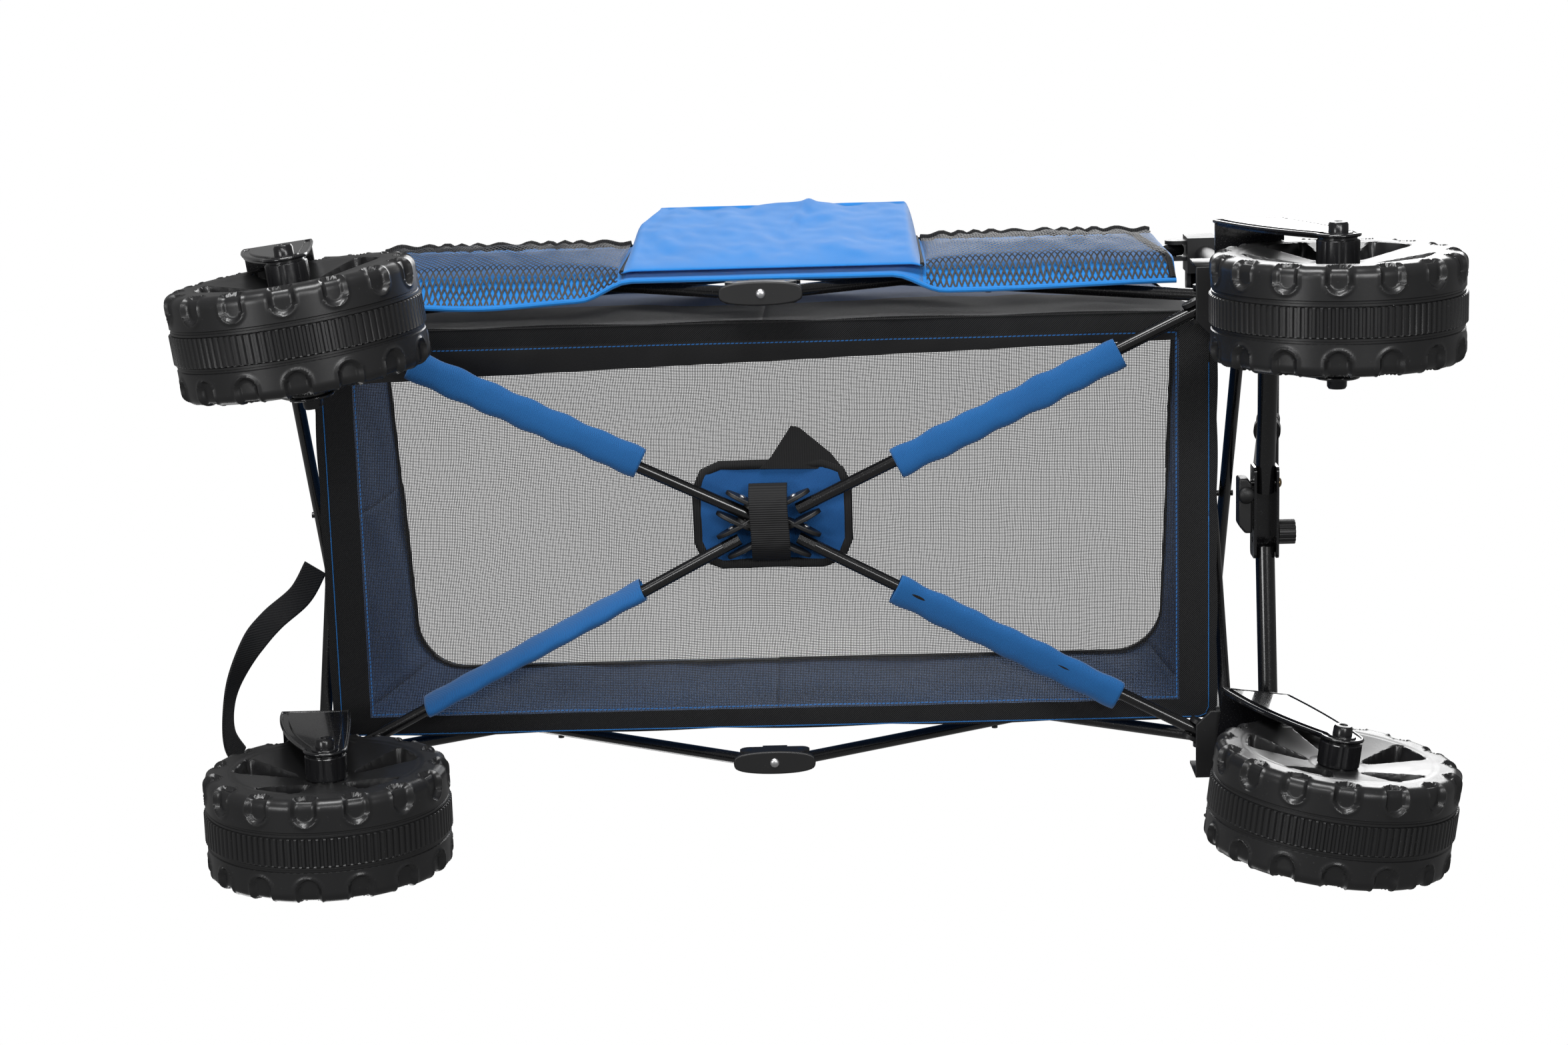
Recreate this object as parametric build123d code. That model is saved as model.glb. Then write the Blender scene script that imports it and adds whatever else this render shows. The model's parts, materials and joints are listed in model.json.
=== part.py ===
"""Quad-fold beach cart: a scissor frame on four wide plastic wheels, with a fabric basket.

X runs from the rear to the front (the handle end), Y to the cart's left, Z up. The cart stands open on
its wheels with z = 0 on the ground and the origin under the middle of the four corner posts.
All sizes are millimetres.
"""

from build123d import *
from math import atan2, cos, degrees, hypot, radians, sin, tan
import os

# ---- driving sizes ------------------------------------------------------------------------------
CELL_SPAN = 392.0        # pivot to pivot, along the ground, of every scissor cell
CELL_RISE = 246.0        # lower pivots to upper pivots with the cart open
LOWER_PIVOT_Z = 280.0    # height of the lower scissor pivots
FOLD_ANGLE = 40.0        # how far every scissor tube turns from open to folded
WHEEL_RADIUS = 114.0
WHEEL_WIDTH = 96.0

TUBE_R = 6.0             # scissor and floor tubes
TUBE_WALL = 1.2
PLANE_STEP = 7.0         # outer and inner tubes run this far either side of a frame plane
SIDE_SET_IN = 3.0        # side frame planes inside the post axes
PIVOT_INSET = 30.0       # post axis to the scissor pivots beside it
KNUCKLE_HALF = 25.0      # middle of a knuckle to its two pivots
KNUCKLE_LIP = 4.0        # knuckle's block above and below its lugs
PIN_R = 3.0
TUBE_OVERSHOOT = 9.0     # tube carried past its pivot
RIVET_HEAD = 2.0         # a pin's head beyond what it holds
END_ROOM = 4.0           # block behind the ends of the tubes that turn in it

PIN_FIT = 0.05           # radial running clearance of pins in lugs and tubes
SLOT_FIT = 0.3           # free space each side of a tube between two lugs
LUG_T = 4.0              # thickness of a moulded lug
LUG_R = 9.0              # round end of a lug
FLOOR_LUG_R = 8.0        # the same, at the floor tubes
BAR_LUG_R = 10.0         # the same, at the front bar

BLOCK_HALF = 18.0        # corner brackets: half their width on the post
BLOCK_BEVEL = 6.0        # upright outer edges
LOWER_BLOCK_BELOW = 30.0
LOWER_BLOCK_ABOVE = 25.0
UPPER_BLOCK_BELOW = 20.0
UPPER_BLOCK_ABOVE = 22.0
POST_R = 8.0             # lower half of the telescoping post
SLEEVE_R = 10.0          # upper half, a sleeve
POST_FIT = 0.08
POST_ENGAGEMENT = 25.0   # post left in its sleeve with the cart folded
SLEEVE_GAP = 3.0         # sleeve's foot above the lower bracket
KINGPIN_ROOM = 30.0      # bore up the post's foot for the kingpin
KINGPIN_REACH = 28.0     # kingpin above the lower bracket's foot
KINGPIN_HEAD = 5.0

FLOOR_PIVOT_INSET = 40.0  # post axis to the floor tube's pivot, along X
FLOOR_PIVOT_DROP = 19.0   # floor pivots below the scissor pivots
FLOOR_SLOPE = 6.0         # degrees that the floor tubes rise to the hub
HUB_PIVOT_R = 22.0        # hub's middle to the pivot of the tube that carries it
HUB_DISC_R = 18.0
HUB_DISC_T = 12.0
HUB_DISC_DROP = 1.5       # disc's foot below that pivot
HUB_OVERSHOOT = 8.0       # that tube's end past the pivot
HUB_TUBE_ROOM = 4.0       # free space round that end
HUB_OPEN_GAP = 28.0       # how far the other three tubes stop short of that pivot radius

BAR_R = 9.25             # folding front bar
BAR_WALL = 1.5
BAR_OFFSET = 34.0        # front bar's axis in front of the posts
BAR_SLOPE = 10.0
BAR_PIVOT_Y = 28.0       # pivots in the channel, either side of its middle
BAR_OPEN_GAP = 7.0       # how far the open bar half stops short of its place in the channel
CHANNEL_HALF = 45.0
CHANNEL_WALL = 2.5
CHANNEL_BEND_R = 5.0
CHANNEL_HEADROOM = 14.0  # bar pivots to the underside of the channel's web
CHANNEL_DEPTH = 13.0     # channel walls below the bar pivots
KNOB_R = 12.0
KNOB_L = 16.0
KNOB_Y = 20.0
KNOB_DROP = 4.0
KNOB_TEETH = 16
KNURL_R = 1.2

HANDLE_R = 11.0          # lower handle tube
HANDLE_WALL = 1.5
HANDLE_L = 400.0
HANDLE_PIVOT_RISE = 18.0  # above the channel's web
HANDLE_LEAN = 9.0        # degrees forward, as the knob holds it
HANDLE_INNER_R = 9.4
HANDLE_INNER_L = 410.0
HANDLE_INNER_WALL = 1.2
HANDLE_OUT = 45.0        # inner tube showing with the handle pushed in
COLLAR_L = 22.0          # moulded collar at the mouth of the lower tube
COLLAR_WALL = 4.0
GRIP_SOCKET = 20.0       # grip's socket down the inner tube
GRIP_HALF = 75.0
GRIP_R = 12.0

WHEEL_CLEARANCE = 13.0   # wheel to the fork's top plate
FORK_T = 4.0
FORK_SIDE_GAP = 12.0     # wheel's side to the fork blade
PLATE_REAR = -30.0       # rear edge of the fork's plate, from the post
PLATE_LEAN = 0.1         # share of the axle's lead that the plate moves forward
PLATE_L = 64.0
AXLE_EYE_R = 17.0        # blade's round end at the axle
FRONT_BOW = (9.0, 12.0)  # blade edges' middles, off the line from plate to eye
REAR_BOW = (-16.0, -4.0)
CASTER_TRAIL = 70.0      # front axle ahead of its post
REAR_AXLE_SET = 37.0     # rear axle ahead of its post
CASTER_TURN = 7.5       # the left caster as it stands, degrees about Z
REAR_TURN = -7.4          # the right rear fork's toe, degrees about Z
AXLE_R = 5.0
AXLE_HEAD = 7.0
AXLE_NUT_R = 8.5
SPACER_R = 18.0
WHEEL_SKIN = 3.0
WHEEL_SHOULDER = 12.0
WHEEL_BOSS_T = 9.0       # wall of the boss round the axle
HUB_RECESS = 12.0        # wheel's web set in from its rim
TREAD_HALF = 14.0
TREAD_T = 2.0

CLOTH_T = 3.0
END_WALL_INSET = 20.0    # basket's end walls inside the post axes
SIDE_WALL_INSET = 24.0   # basket's side walls inside the post axes
RIM_ABOVE = 33.0         # basket's rim above the upper pivots
WALL_FOOT = 13.0         # foot of the walls above the lower pivots
FLOOR_DOME = 44.0        # floor panel's middle above its edge
FLOOR_FIT = 0.5
CROWN = (120.0, 90.0)    # level middle of the floor panel
PANEL_GAP = 3.0          # outer pocket panel beyond the outermost lugs
PANEL_HALF_X = 395.0
PANEL_FOOT = 30.0        # panel's foot above the lower pivots
POCKET_X = (-150.0, 145.0)
POCKET_Z = (55.0, 265.0)  # above the lower pivots
POCKET_DEPTH = 38.0
POCKET_CORNER_R = 12.0
STRAP_W = 34.0
STRAP_T = 3.0
STRAP_ROUTE = [(0.0, 40.0, 20.0), (-34.0, 88.0, -60.0), (-60.0, 150.0, -75.0), (-60.0, 212.0, -30.0)]

# ---- worked-out places --------------------------------------------------------------------------
POST_X = CELL_SPAN + PIVOT_INSET + KNUCKLE_HALF
POST_Y = CELL_SPAN / 2 + PIVOT_INSET
SIDE_Y = POST_Y - SIDE_SET_IN
UPPER_PIVOT_Z = LOWER_PIVOT_Z + CELL_RISE
OPEN_ANGLE = degrees(atan2(CELL_RISE, CELL_SPAN))
TUBE_L = hypot(CELL_SPAN, CELL_RISE)
FOLDED_RISE = TUBE_L * sin(radians(OPEN_ANGLE + FOLD_ANGLE))
LUG_IN = TUBE_R + SLOT_FIT
LUG_OUT = LUG_IN + LUG_T
FRAME_OUT = PLANE_STEP + LUG_OUT          # outermost lug beyond a frame plane
PLATE_TOP_Z = 2 * WHEEL_RADIUS + WHEEL_CLEARANCE + FORK_T
LOWER_BLOCK_Z = LOWER_PIVOT_Z - LOWER_BLOCK_BELOW
FORK_INNER = WHEEL_WIDTH / 2 + FORK_SIDE_GAP
FLOOR_Z = LOWER_PIVOT_Z - FLOOR_PIVOT_DROP
# The floor pivots lie so that each floor tube keeps its direction in plan while the cart folds.
FLOOR_REACH_X = KNUCKLE_HALF + PIVOT_INSET - FLOOR_PIVOT_INSET
FLOOR_PIVOT_X = POST_X - FLOOR_PIVOT_INSET
FLOOR_PIVOT_Y = CELL_SPAN / 2 + FLOOR_REACH_X / 2
FLOOR_RUN = hypot(FLOOR_PIVOT_X, FLOOR_PIVOT_Y) - HUB_PIVOT_R
HUB_Z = FLOOR_Z + FLOOR_RUN * tan(radians(FLOOR_SLOPE))
BAR_X = POST_X + BAR_OFFSET
BAR_END_Y = POST_Y - PIVOT_INSET
BAR_RUN = BAR_END_Y - BAR_PIVOT_Y
CHANNEL_Z = LOWER_PIVOT_Z + BAR_RUN * tan(radians(BAR_SLOPE))
WEB_TOP_Z = CHANNEL_Z + CHANNEL_HEADROOM + CHANNEL_WALL
HANDLE_Z = WEB_TOP_Z + HANDLE_PIVOT_RISE
RIM_Z = UPPER_PIVOT_Z + RIM_ABOVE

CORNERS = {"rear_right": (-1, -1), "rear_left": (-1, 1), "front_right": (1, -1), "front_left": (1, 1)}
UP = Vector(0, 0, 1)


# ---- shared shapes ------------------------------------------------------------------------------
def bar_between(start, end, radius):
    """A round bar from one point to another."""
    start, end = Vector(*start), Vector(*end)
    place = Plane(origin=start, z_dir=end - start)
    return place * Cylinder(radius, (end - start).length, align=(Align.CENTER, Align.CENTER, Align.MIN))


def cross_bar(middle, direction, half_length, radius):
    """A round bar centred on a point."""
    middle, direction = Vector(*middle), Vector(*direction)
    return bar_between(middle - direction * half_length, middle + direction * half_length, radius)


def block(low, high):
    """A box between two corners, whichever way round they are given."""
    size = [abs(b - a) for a, b in zip(low, high)]
    centre = [(a + b) / 2 for a, b in zip(low, high)]
    return Pos(*centre) * Box(*size)


def tube(start, end, radius, wall, before, after, pin_axis, holes, pins):
    """A hollow tube between two pivots, with fixed pins at some points and free holes at others.

    holes and pins are (fraction of the length, half length of the pin) pairs.
    """
    start, end = Vector(*start), Vector(*end)
    way = (end - start).normalized()
    low, high = start - way * before, end + way * after
    body = bar_between(low, high, radius) - bar_between(low - way, high + way, radius - wall)
    made = []
    for fraction in holes:
        body -= cross_bar(start + (end - start) * fraction, pin_axis, 2 * radius, PIN_R + PIN_FIT)
    for fraction, inward, outward in pins:
        point = start + (end - start) * fraction
        axis = Vector(*pin_axis)
        pin = bar_between(point - axis * inward, point + axis * outward, PIN_R)
        body -= cross_bar(point, pin_axis, 2 * radius, PIN_R)
        made.append(pin)
    return Compound(children=[body.solid(), *[p.solid() for p in made]])


def lugs(pivot, outward, root, radius=TUBE_R, lug_r=LUG_R):
    """Two moulded lugs either side of a tube's pivot, reaching back to a block.

    pivot is the pivot point, outward the level unit direction from the block to it, and root how far
    behind the pivot the lugs start. The pin's axis is level and square to outward.
    """
    pivot, outward = Vector(*pivot), Vector(*outward)
    side = UP.cross(outward)
    made = None
    for sign in (-1, 1):
        middle = pivot + side * (sign * (radius + SLOT_FIT + LUG_T / 2))
        place = Plane(origin=middle, x_dir=outward, z_dir=side)
        with BuildSketch() as outline:
            with Locations((-root / 2, 0)):
                Rectangle(root, 2 * lug_r)
            Circle(lug_r)
            Circle(PIN_R + PIN_FIT, mode=Mode.SUBTRACT)
        lug = place * extrude(outline.sketch, LUG_T / 2, both=True)
        made = lug if made is None else made + lug
    return made


# ---- corner brackets, posts and sleeves ---------------------------------------------------------
def end_plane_is_outer(name, upper):
    """At each end the tube that starts low on the right is the outer one."""
    return (CORNERS[name][1] < 0) != upper


def corner_block(name, low_z, high_z):
    """The moulded block on the post, its upright edges bevelled."""
    sx, sy = CORNERS[name]
    body = block(
        (sx * POST_X - BLOCK_HALF, sy * POST_Y - BLOCK_HALF, low_z),
        (sx * POST_X + BLOCK_HALF, sy * POST_Y + BLOCK_HALF, high_z),
    )
    outer = [
        edge
        for edge in body.edges().filter_by(Axis.Z)
        if sx * edge.center().X > POST_X and sy * edge.center().Y > POST_Y
    ]
    return chamfer(outer, BLOCK_BEVEL)


def scissor_lugs(name, z, upper):
    """Lugs for the side tube and for the end tube of one corner."""
    sx, sy = CORNERS[name]
    side_y = sy * (SIDE_Y + (PLANE_STEP if upper else -PLANE_STEP))
    end_x = sx * (POST_X + (PLANE_STEP if end_plane_is_outer(name, upper) else -PLANE_STEP))
    root = PIVOT_INSET - BLOCK_HALF + 1
    side = lugs((sx * (POST_X - PIVOT_INSET), side_y, z), (-sx, 0, 0), root)
    end = lugs((end_x, sy * (POST_Y - PIVOT_INSET), z), (0, -sy, 0), root)
    return side + end


def floor_direction(name):
    sx, sy = CORNERS[name]
    return Vector(-sx * FLOOR_PIVOT_X, -sy * FLOOR_PIVOT_Y, 0).normalized()


def floor_pivot(name):
    sx, sy = CORNERS[name]
    return Vector(sx * FLOOR_PIVOT_X, sy * FLOOR_PIVOT_Y, FLOOR_Z)


def lower_bracket(name):
    sx, sy = CORNERS[name]
    post = (sx * POST_X, sy * POST_Y)
    body = corner_block(name, LOWER_BLOCK_Z, LOWER_PIVOT_Z + LOWER_BLOCK_ABOVE)
    body += scissor_lugs(name, LOWER_PIVOT_Z, upper=False)
    to_post = hypot(FLOOR_PIVOT_INSET, POST_Y - FLOOR_PIVOT_Y)
    body += lugs(floor_pivot(name), floor_direction(name), to_post - BLOCK_HALF, lug_r=FLOOR_LUG_R)
    if sx > 0:
        pivot = (BAR_X, sy * BAR_END_Y, LOWER_PIVOT_Z)
        body += lugs(pivot, (0, -sy, 0), PIVOT_INSET, radius=BAR_R, lug_r=BAR_LUG_R)
        body += block(
            (POST_X, sy * POST_Y, LOWER_PIVOT_Z - BAR_LUG_R),
            (BAR_X + BAR_R + SLOT_FIT + LUG_T, sy * (POST_Y - PIVOT_INSET / 2), LOWER_PIVOT_Z + BAR_LUG_R),
        )
    body -= bar_between((*post, LOWER_BLOCK_Z - 1), (*post, LOWER_PIVOT_Z + 2 * LOWER_BLOCK_ABOVE), POST_R)
    return body


def post(name):
    """Lower half of the telescoping post, pressed into the lower bracket."""
    sx, sy = CORNERS[name]
    foot = (sx * POST_X, sy * POST_Y, LOWER_BLOCK_Z)
    sleeve_foot = LOWER_PIVOT_Z + LOWER_BLOCK_ABOVE + SLEEVE_GAP
    top = sleeve_foot + (FOLDED_RISE - CELL_RISE) + POST_ENGAGEMENT
    body = bar_between(foot, (foot[0], foot[1], top), POST_R)
    below, above = (foot[0], foot[1], foot[2] - 1), (foot[0], foot[1], foot[2] + KINGPIN_ROOM)
    return body - bar_between(below, above, AXLE_R + POST_FIT)


def upper_bracket(name):
    """Upper corner bracket with the sleeve of the post hanging from it."""
    sx, sy = CORNERS[name]
    low, high = UPPER_PIVOT_Z - UPPER_BLOCK_BELOW, UPPER_PIVOT_Z + UPPER_BLOCK_ABOVE
    body = corner_block(name, low, high) + scissor_lugs(name, UPPER_PIVOT_Z, upper=True)
    x, y = sx * POST_X, sy * POST_Y
    bore = bar_between((x, y, low - 1), (x, y, high + 1), POST_R + POST_FIT)
    body -= bore
    foot = LOWER_PIVOT_Z + LOWER_BLOCK_ABOVE + SLEEVE_GAP
    sleeve = bar_between((x, y, foot), (x, y, low), SLEEVE_R)
    sleeve -= bar_between((x, y, foot - 1), (x, y, low + 1), POST_R + POST_FIT)
    return Compound(children=[body.solid(), sleeve.solid()])


# ---- scissors -----------------------------------------------------------------------------------
PIN_REACH = LUG_OUT       # a tube's own pins end flush with the lugs


def scissor_tube(start, end, axis, crossing_pin):
    """One scissor tube with its end pins; the outer one also carries the crossing pin."""
    pins = [(0.0, PIN_REACH, PIN_REACH), (1.0, PIN_REACH, PIN_REACH)]
    holes = []
    if crossing_pin:
        pins.append((0.5, 2 * PLANE_STEP + TUBE_R + RIVET_HEAD, TUBE_R + RIVET_HEAD))
    else:
        holes.append(0.5)
    return tube(start, end, TUBE_R, TUBE_WALL, TUBE_OVERSHOOT, TUBE_OVERSHOOT, axis, holes, pins)


def side_tubes(side, sy):
    """The four tubes of one long side: outer tubes meet at the bottom knuckle, inner ones at the top."""
    outer_y, inner_y = sy * (SIDE_Y + PLANE_STEP), sy * (SIDE_Y - PLANE_STEP)
    far, near = POST_X - PIVOT_INSET, KNUCKLE_HALF
    made = {}
    for end, sx in (("rear", -1), ("front", 1)):
        made[f"{side}_{end}_outer_tube"] = scissor_tube(
            (sx * near, outer_y, LOWER_PIVOT_Z), (sx * far, outer_y, UPPER_PIVOT_Z), (0, sy, 0), True
        )
        made[f"{side}_{end}_inner_tube"] = scissor_tube(
            (sx * far, inner_y, LOWER_PIVOT_Z), (sx * near, inner_y, UPPER_PIVOT_Z), (0, sy, 0), False
        )
    return made


def end_tubes(end, sx):
    """The two crossed tubes of one end."""
    outer_x, inner_x = sx * (POST_X + PLANE_STEP), sx * (POST_X - PLANE_STEP)
    half = POST_Y - PIVOT_INSET
    outer = scissor_tube((outer_x, -half, LOWER_PIVOT_Z), (outer_x, half, UPPER_PIVOT_Z), (sx, 0, 0), True)
    inner = scissor_tube((inner_x, half, LOWER_PIVOT_Z), (inner_x, -half, UPPER_PIVOT_Z), (sx, 0, 0), False)
    return {f"{end}_outer_tube": outer, f"{end}_inner_tube": inner}


def knuckle(sy, upper):
    """Moulded knuckle in the middle of a long side, joining two tubes end to end."""
    y = sy * (SIDE_Y + (-PLANE_STEP if upper else PLANE_STEP))
    z = UPPER_PIVOT_Z if upper else LOWER_PIVOT_Z
    half = KNUCKLE_HALF - TUBE_OVERSHOOT - END_ROOM
    half_height = LUG_R + KNUCKLE_LIP
    body = block((-half, y - LUG_OUT, z - half_height), (half, y + LUG_OUT, z + half_height))
    for sx in (-1, 1):
        body += lugs((sx * KNUCKLE_HALF, y, z), (sx, 0, 0), KNUCKLE_HALF - half + 1)
    return body


# ---- floor tubes and hub ------------------------------------------------------------------------
def floor_tube(name):
    """A floor tube; only the rear right one is pinned to the hub, the others stop in open sockets."""
    start, way = floor_pivot(name), floor_direction(name)
    pin_axis = UP.cross(way)
    slope = tan(radians(FLOOR_SLOPE))
    pins = [(0.0, PIN_REACH, PIN_REACH)]
    if name == "rear_right":
        end = start + way * FLOOR_RUN + UP * (FLOOR_RUN * slope)
        pins.append((1.0, PIN_REACH, PIN_REACH))
        after = HUB_OVERSHOOT
    else:
        run = FLOOR_RUN - HUB_OPEN_GAP
        end = start + way * run + UP * (run * slope)
        after = 0
    return tube(start, end, TUBE_R, TUBE_WALL, TUBE_OVERSHOOT, after, pin_axis, [], pins)


def floor_hub():
    """Moulded hub over the middle of the floor, with lugs for the tube that carries it."""
    way = floor_direction("rear_right")
    pivot = UP * HUB_Z - way * HUB_PIVOT_R
    low = HUB_Z - HUB_DISC_DROP
    body = bar_between((0, 0, low), (0, 0, low + HUB_DISC_T), HUB_DISC_R)
    body += lugs(pivot, way * -1, HUB_PIVOT_R - TUBE_R, lug_r=FLOOR_LUG_R)
    # The tube's end turns freely under the disc.
    side = UP.cross(way)
    room = Plane(origin=pivot, z_dir=side) * Cylinder(HUB_OVERSHOOT + HUB_TUBE_ROOM, 2 * LUG_IN)
    return body - room


# ---- wheels, forks and axles --------------------------------------------------------------------
def corner_turn(name):
    if name == "front_left":
        return CASTER_TURN
    return REAR_TURN if name == "rear_right" else 0.0


def wheel_place(name):
    """Frame of a fork: origin on the ground under the post, X along the trail."""
    sx, sy = CORNERS[name]
    return Pos(sx * POST_X, sy * POST_Y, 0) * Rot(0, 0, corner_turn(name))


def trail(name):
    return CASTER_TRAIL if CORNERS[name][0] > 0 else REAR_AXLE_SET


def half_shell(sign):
    """One of the two moulded half shells of a wheel, turned about Y and closed at the rim."""
    half, skin = WHEEL_WIDTH / 2, WHEEL_SKIN
    outer_r = WHEEL_RADIUS - TREAD_T
    web = half - HUB_RECESS
    bore = AXLE_R + POST_FIT
    boss_r = bore + WHEEL_BOSS_T
    rim_in = outer_r - 2 * WHEEL_SHOULDER
    outline = [
        (bore, 0), (boss_r, 0), (boss_r, web - skin), (rim_in - 2 * skin, web - skin),
        (rim_in - skin, half - skin), (outer_r - WHEEL_SHOULDER, half - skin),
        (outer_r - skin, half - WHEEL_SHOULDER), (outer_r - skin, 0), (outer_r, 0),
        (outer_r, half - WHEEL_SHOULDER), (outer_r - WHEEL_SHOULDER, half), (rim_in, half),
        (rim_in - skin, web), (bore, web),
    ]
    face = make_face(Polyline([(r, sign * y) for r, y in outline], close=True))
    return revolve(face, Axis.Y, 360).solid()


def wheel(name):
    """Two half shells, back to back, inside a ribbed tread band."""
    outer_r = WHEEL_RADIUS - TREAD_T
    band = Cylinder(WHEEL_RADIUS, 2 * TREAD_HALF) - Cylinder(outer_r, 3 * TREAD_HALF)
    band = Rot(90, 0, 0) * band
    place = wheel_place(name) * Pos(trail(name), 0, WHEEL_RADIUS)
    return place * Compound(children=[half_shell(1), half_shell(-1), band.solid()])


def plate_rear(axle_x):
    """Rear edge of a fork's top plate, which reaches a little forward with the axle."""
    return PLATE_REAR + PLATE_LEAN * axle_x


def blade(axle_x):
    """Outline of a pressed fork blade, a crescent from the top plate down to the axle."""
    top, foot = PLATE_TOP_Z, WHEEL_RADIUS
    lead = plate_rear(axle_x)
    tail = lead + PLATE_L
    nose = AXLE_EYE_R
    front_mid = ((tail + axle_x) / 2 + FRONT_BOW[0], (top + foot) / 2 + FRONT_BOW[1])
    rear_mid = ((lead + axle_x) / 2 + REAR_BOW[0], (top + foot) / 2 + REAR_BOW[1])
    outline = (
        Line((lead, top), (tail, top))
        + ThreePointArc((tail, top), front_mid, (axle_x + nose, foot))
        + ThreePointArc((axle_x + nose, foot), (axle_x, foot - nose), (axle_x - nose, foot))
        + ThreePointArc((axle_x - nose, foot), rear_mid, (lead, top))
    )
    return make_face(outline)


def fork(name):
    """Pressed-steel fork: a top plate bolted under the bracket and a blade either side of the wheel."""
    axle_x = trail(name)
    lead = plate_rear(axle_x)
    out = FORK_INNER + FORK_T
    body = block((lead, -out, PLATE_TOP_Z - FORK_T), (lead + PLATE_L, out, PLATE_TOP_Z))
    for sign in (-1, 1):
        place = Plane(origin=(0, sign * (FORK_INNER + FORK_T / 2), 0), x_dir=(1, 0, 0), z_dir=(0, -1, 0))
        sheet = extrude(place * blade(axle_x), FORK_T / 2, both=True)
        body += sheet
    body -= cross_bar((axle_x, 0, WHEEL_RADIUS), (0, 1, 0), 2 * out, AXLE_R)
    body -= bar_between((0, 0, 0), (0, 0, LOWER_BLOCK_Z), AXLE_R)
    swivels = CORNERS[name][0] > 0
    gap = POST_FIT if swivels else 0.0
    washer = bar_between((0, 0, PLATE_TOP_Z), (0, 0, LOWER_BLOCK_Z - gap), BLOCK_HALF)
    washer -= bar_between((0, 0, 0), (0, 0, 2 * LOWER_BLOCK_Z), AXLE_R)
    head = bar_between((0, 0, PLATE_TOP_Z - FORK_T - KINGPIN_HEAD), (0, 0, PLATE_TOP_Z - FORK_T), 2 * AXLE_R)
    kingpin = head + bar_between((0, 0, PLATE_TOP_Z - FORK_T), (0, 0, LOWER_BLOCK_Z + KINGPIN_REACH), AXLE_R)
    return wheel_place(name) * Compound(children=[body.solid(), washer.solid(), kingpin.solid()])


def axle(name):
    """Axle bolt with its nut, and the two spacers that centre the wheel."""
    out = FORK_INNER + FORK_T
    middle = (trail(name), 0, WHEEL_RADIUS)
    shaft = cross_bar(middle, (0, 1, 0), out, AXLE_R)
    for sign in (-1, 1):
        face = Vector(*middle) + Vector(0, sign * out, 0)
        end = Plane(origin=face, z_dir=(0, sign, 0)) * extrude(RegularPolygon(AXLE_NUT_R, 6), AXLE_HEAD)
        shaft += end
    spacers = []
    hub_face = WHEEL_WIDTH / 2 - HUB_RECESS + SLOT_FIT
    for sign in (-1, 1):
        near = Vector(*middle) + Vector(0, sign * hub_face, 0)
        far = Vector(*middle) + Vector(0, sign * FORK_INNER, 0)
        spacer = bar_between(near, far, SPACER_R) - bar_between(near, far, AXLE_R)
        spacers.append(spacer.solid())
    return wheel_place(name) * Compound(children=[shaft.solid(), *spacers])


# ---- front bar, channel and handle --------------------------------------------------------------
def front_bar(sy):
    """Half of the folding front bar, from a lower corner bracket up to the channel."""
    start = Vector(BAR_X, sy * BAR_END_Y, LOWER_PIVOT_Z)
    slope = tan(radians(BAR_SLOPE))
    pins = [(0.0, BAR_R + SLOT_FIT + LUG_T, BAR_R + SLOT_FIT + LUG_T)]
    if sy < 0:
        end = Vector(BAR_X, sy * BAR_PIVOT_Y, CHANNEL_Z)
        reach = BAR_R + SLOT_FIT + CHANNEL_WALL + RIVET_HEAD
        pins.append((1.0, reach, reach))
        after = TUBE_OVERSHOOT
    else:
        run = BAR_RUN - BAR_OPEN_GAP
        end = start + Vector(0, -sy * run, run * slope)
        after = 0
    return tube(start, end, BAR_R, BAR_WALL, TUBE_OVERSHOOT, after, (1, 0, 0), [], pins)


def bar_channel():
    """Pressed channel over the bar's two halves, open below, with the handle's lugs on top."""
    inner = BAR_R + SLOT_FIT
    outer = inner + CHANNEL_WALL
    body = block((BAR_X - outer, -CHANNEL_HALF, CHANNEL_Z - CHANNEL_DEPTH), (BAR_X + outer, CHANNEL_HALF, WEB_TOP_Z))
    body = fillet(body.edges().filter_by(Axis.X), CHANNEL_BEND_R)
    body -= block(
        (BAR_X - inner, -2 * CHANNEL_HALF, 0), (BAR_X + inner, 2 * CHANNEL_HALF, CHANNEL_Z + CHANNEL_HEADROOM)
    )
    for sy in (-1, 1):
        body -= cross_bar((BAR_X, sy * BAR_PIVOT_Y, CHANNEL_Z), (1, 0, 0), 2 * outer, PIN_R + PIN_FIT)
    knob_z = CHANNEL_Z - KNOB_DROP
    body -= bar_between((BAR_X, KNOB_Y, knob_z), (BAR_X + 2 * outer, KNOB_Y, knob_z), PIN_R + PIN_FIT)
    handle_lugs = lugs((0, 0, 0), (1, 0, 0), HANDLE_PIVOT_RISE, radius=HANDLE_R)
    return body + Pos(BAR_X, 0, HANDLE_Z) * Rot(0, 90, 0) * handle_lugs


def lock_knob():
    """Knurled knob that locks the open front bar: a toothed head on a short screw."""
    x = BAR_X + BAR_R + SLOT_FIT + CHANNEL_WALL
    z = CHANNEL_Z - KNOB_DROP
    head = bar_between((x + SLOT_FIT, KNOB_Y, z), (x + KNOB_L, KNOB_Y, z), KNOB_R)
    screw = bar_between((x - CHANNEL_WALL, KNOB_Y, z), (x + 1, KNOB_Y, z), PIN_R)
    for turn in range(KNOB_TEETH):
        angle = radians(360 * turn / KNOB_TEETH)
        y, up = KNOB_Y + KNOB_R * cos(angle), z + KNOB_R * sin(angle)
        head -= bar_between((x - 1, y, up), (x + 2 * KNOB_L, y, up), KNURL_R)
    return head + screw


def handle_place():
    """The leaning handle's own frame: its pivot, with Z up the handle."""
    return Pos(BAR_X, 0, HANDLE_Z) * Rot(0, HANDLE_LEAN, 0)


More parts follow.
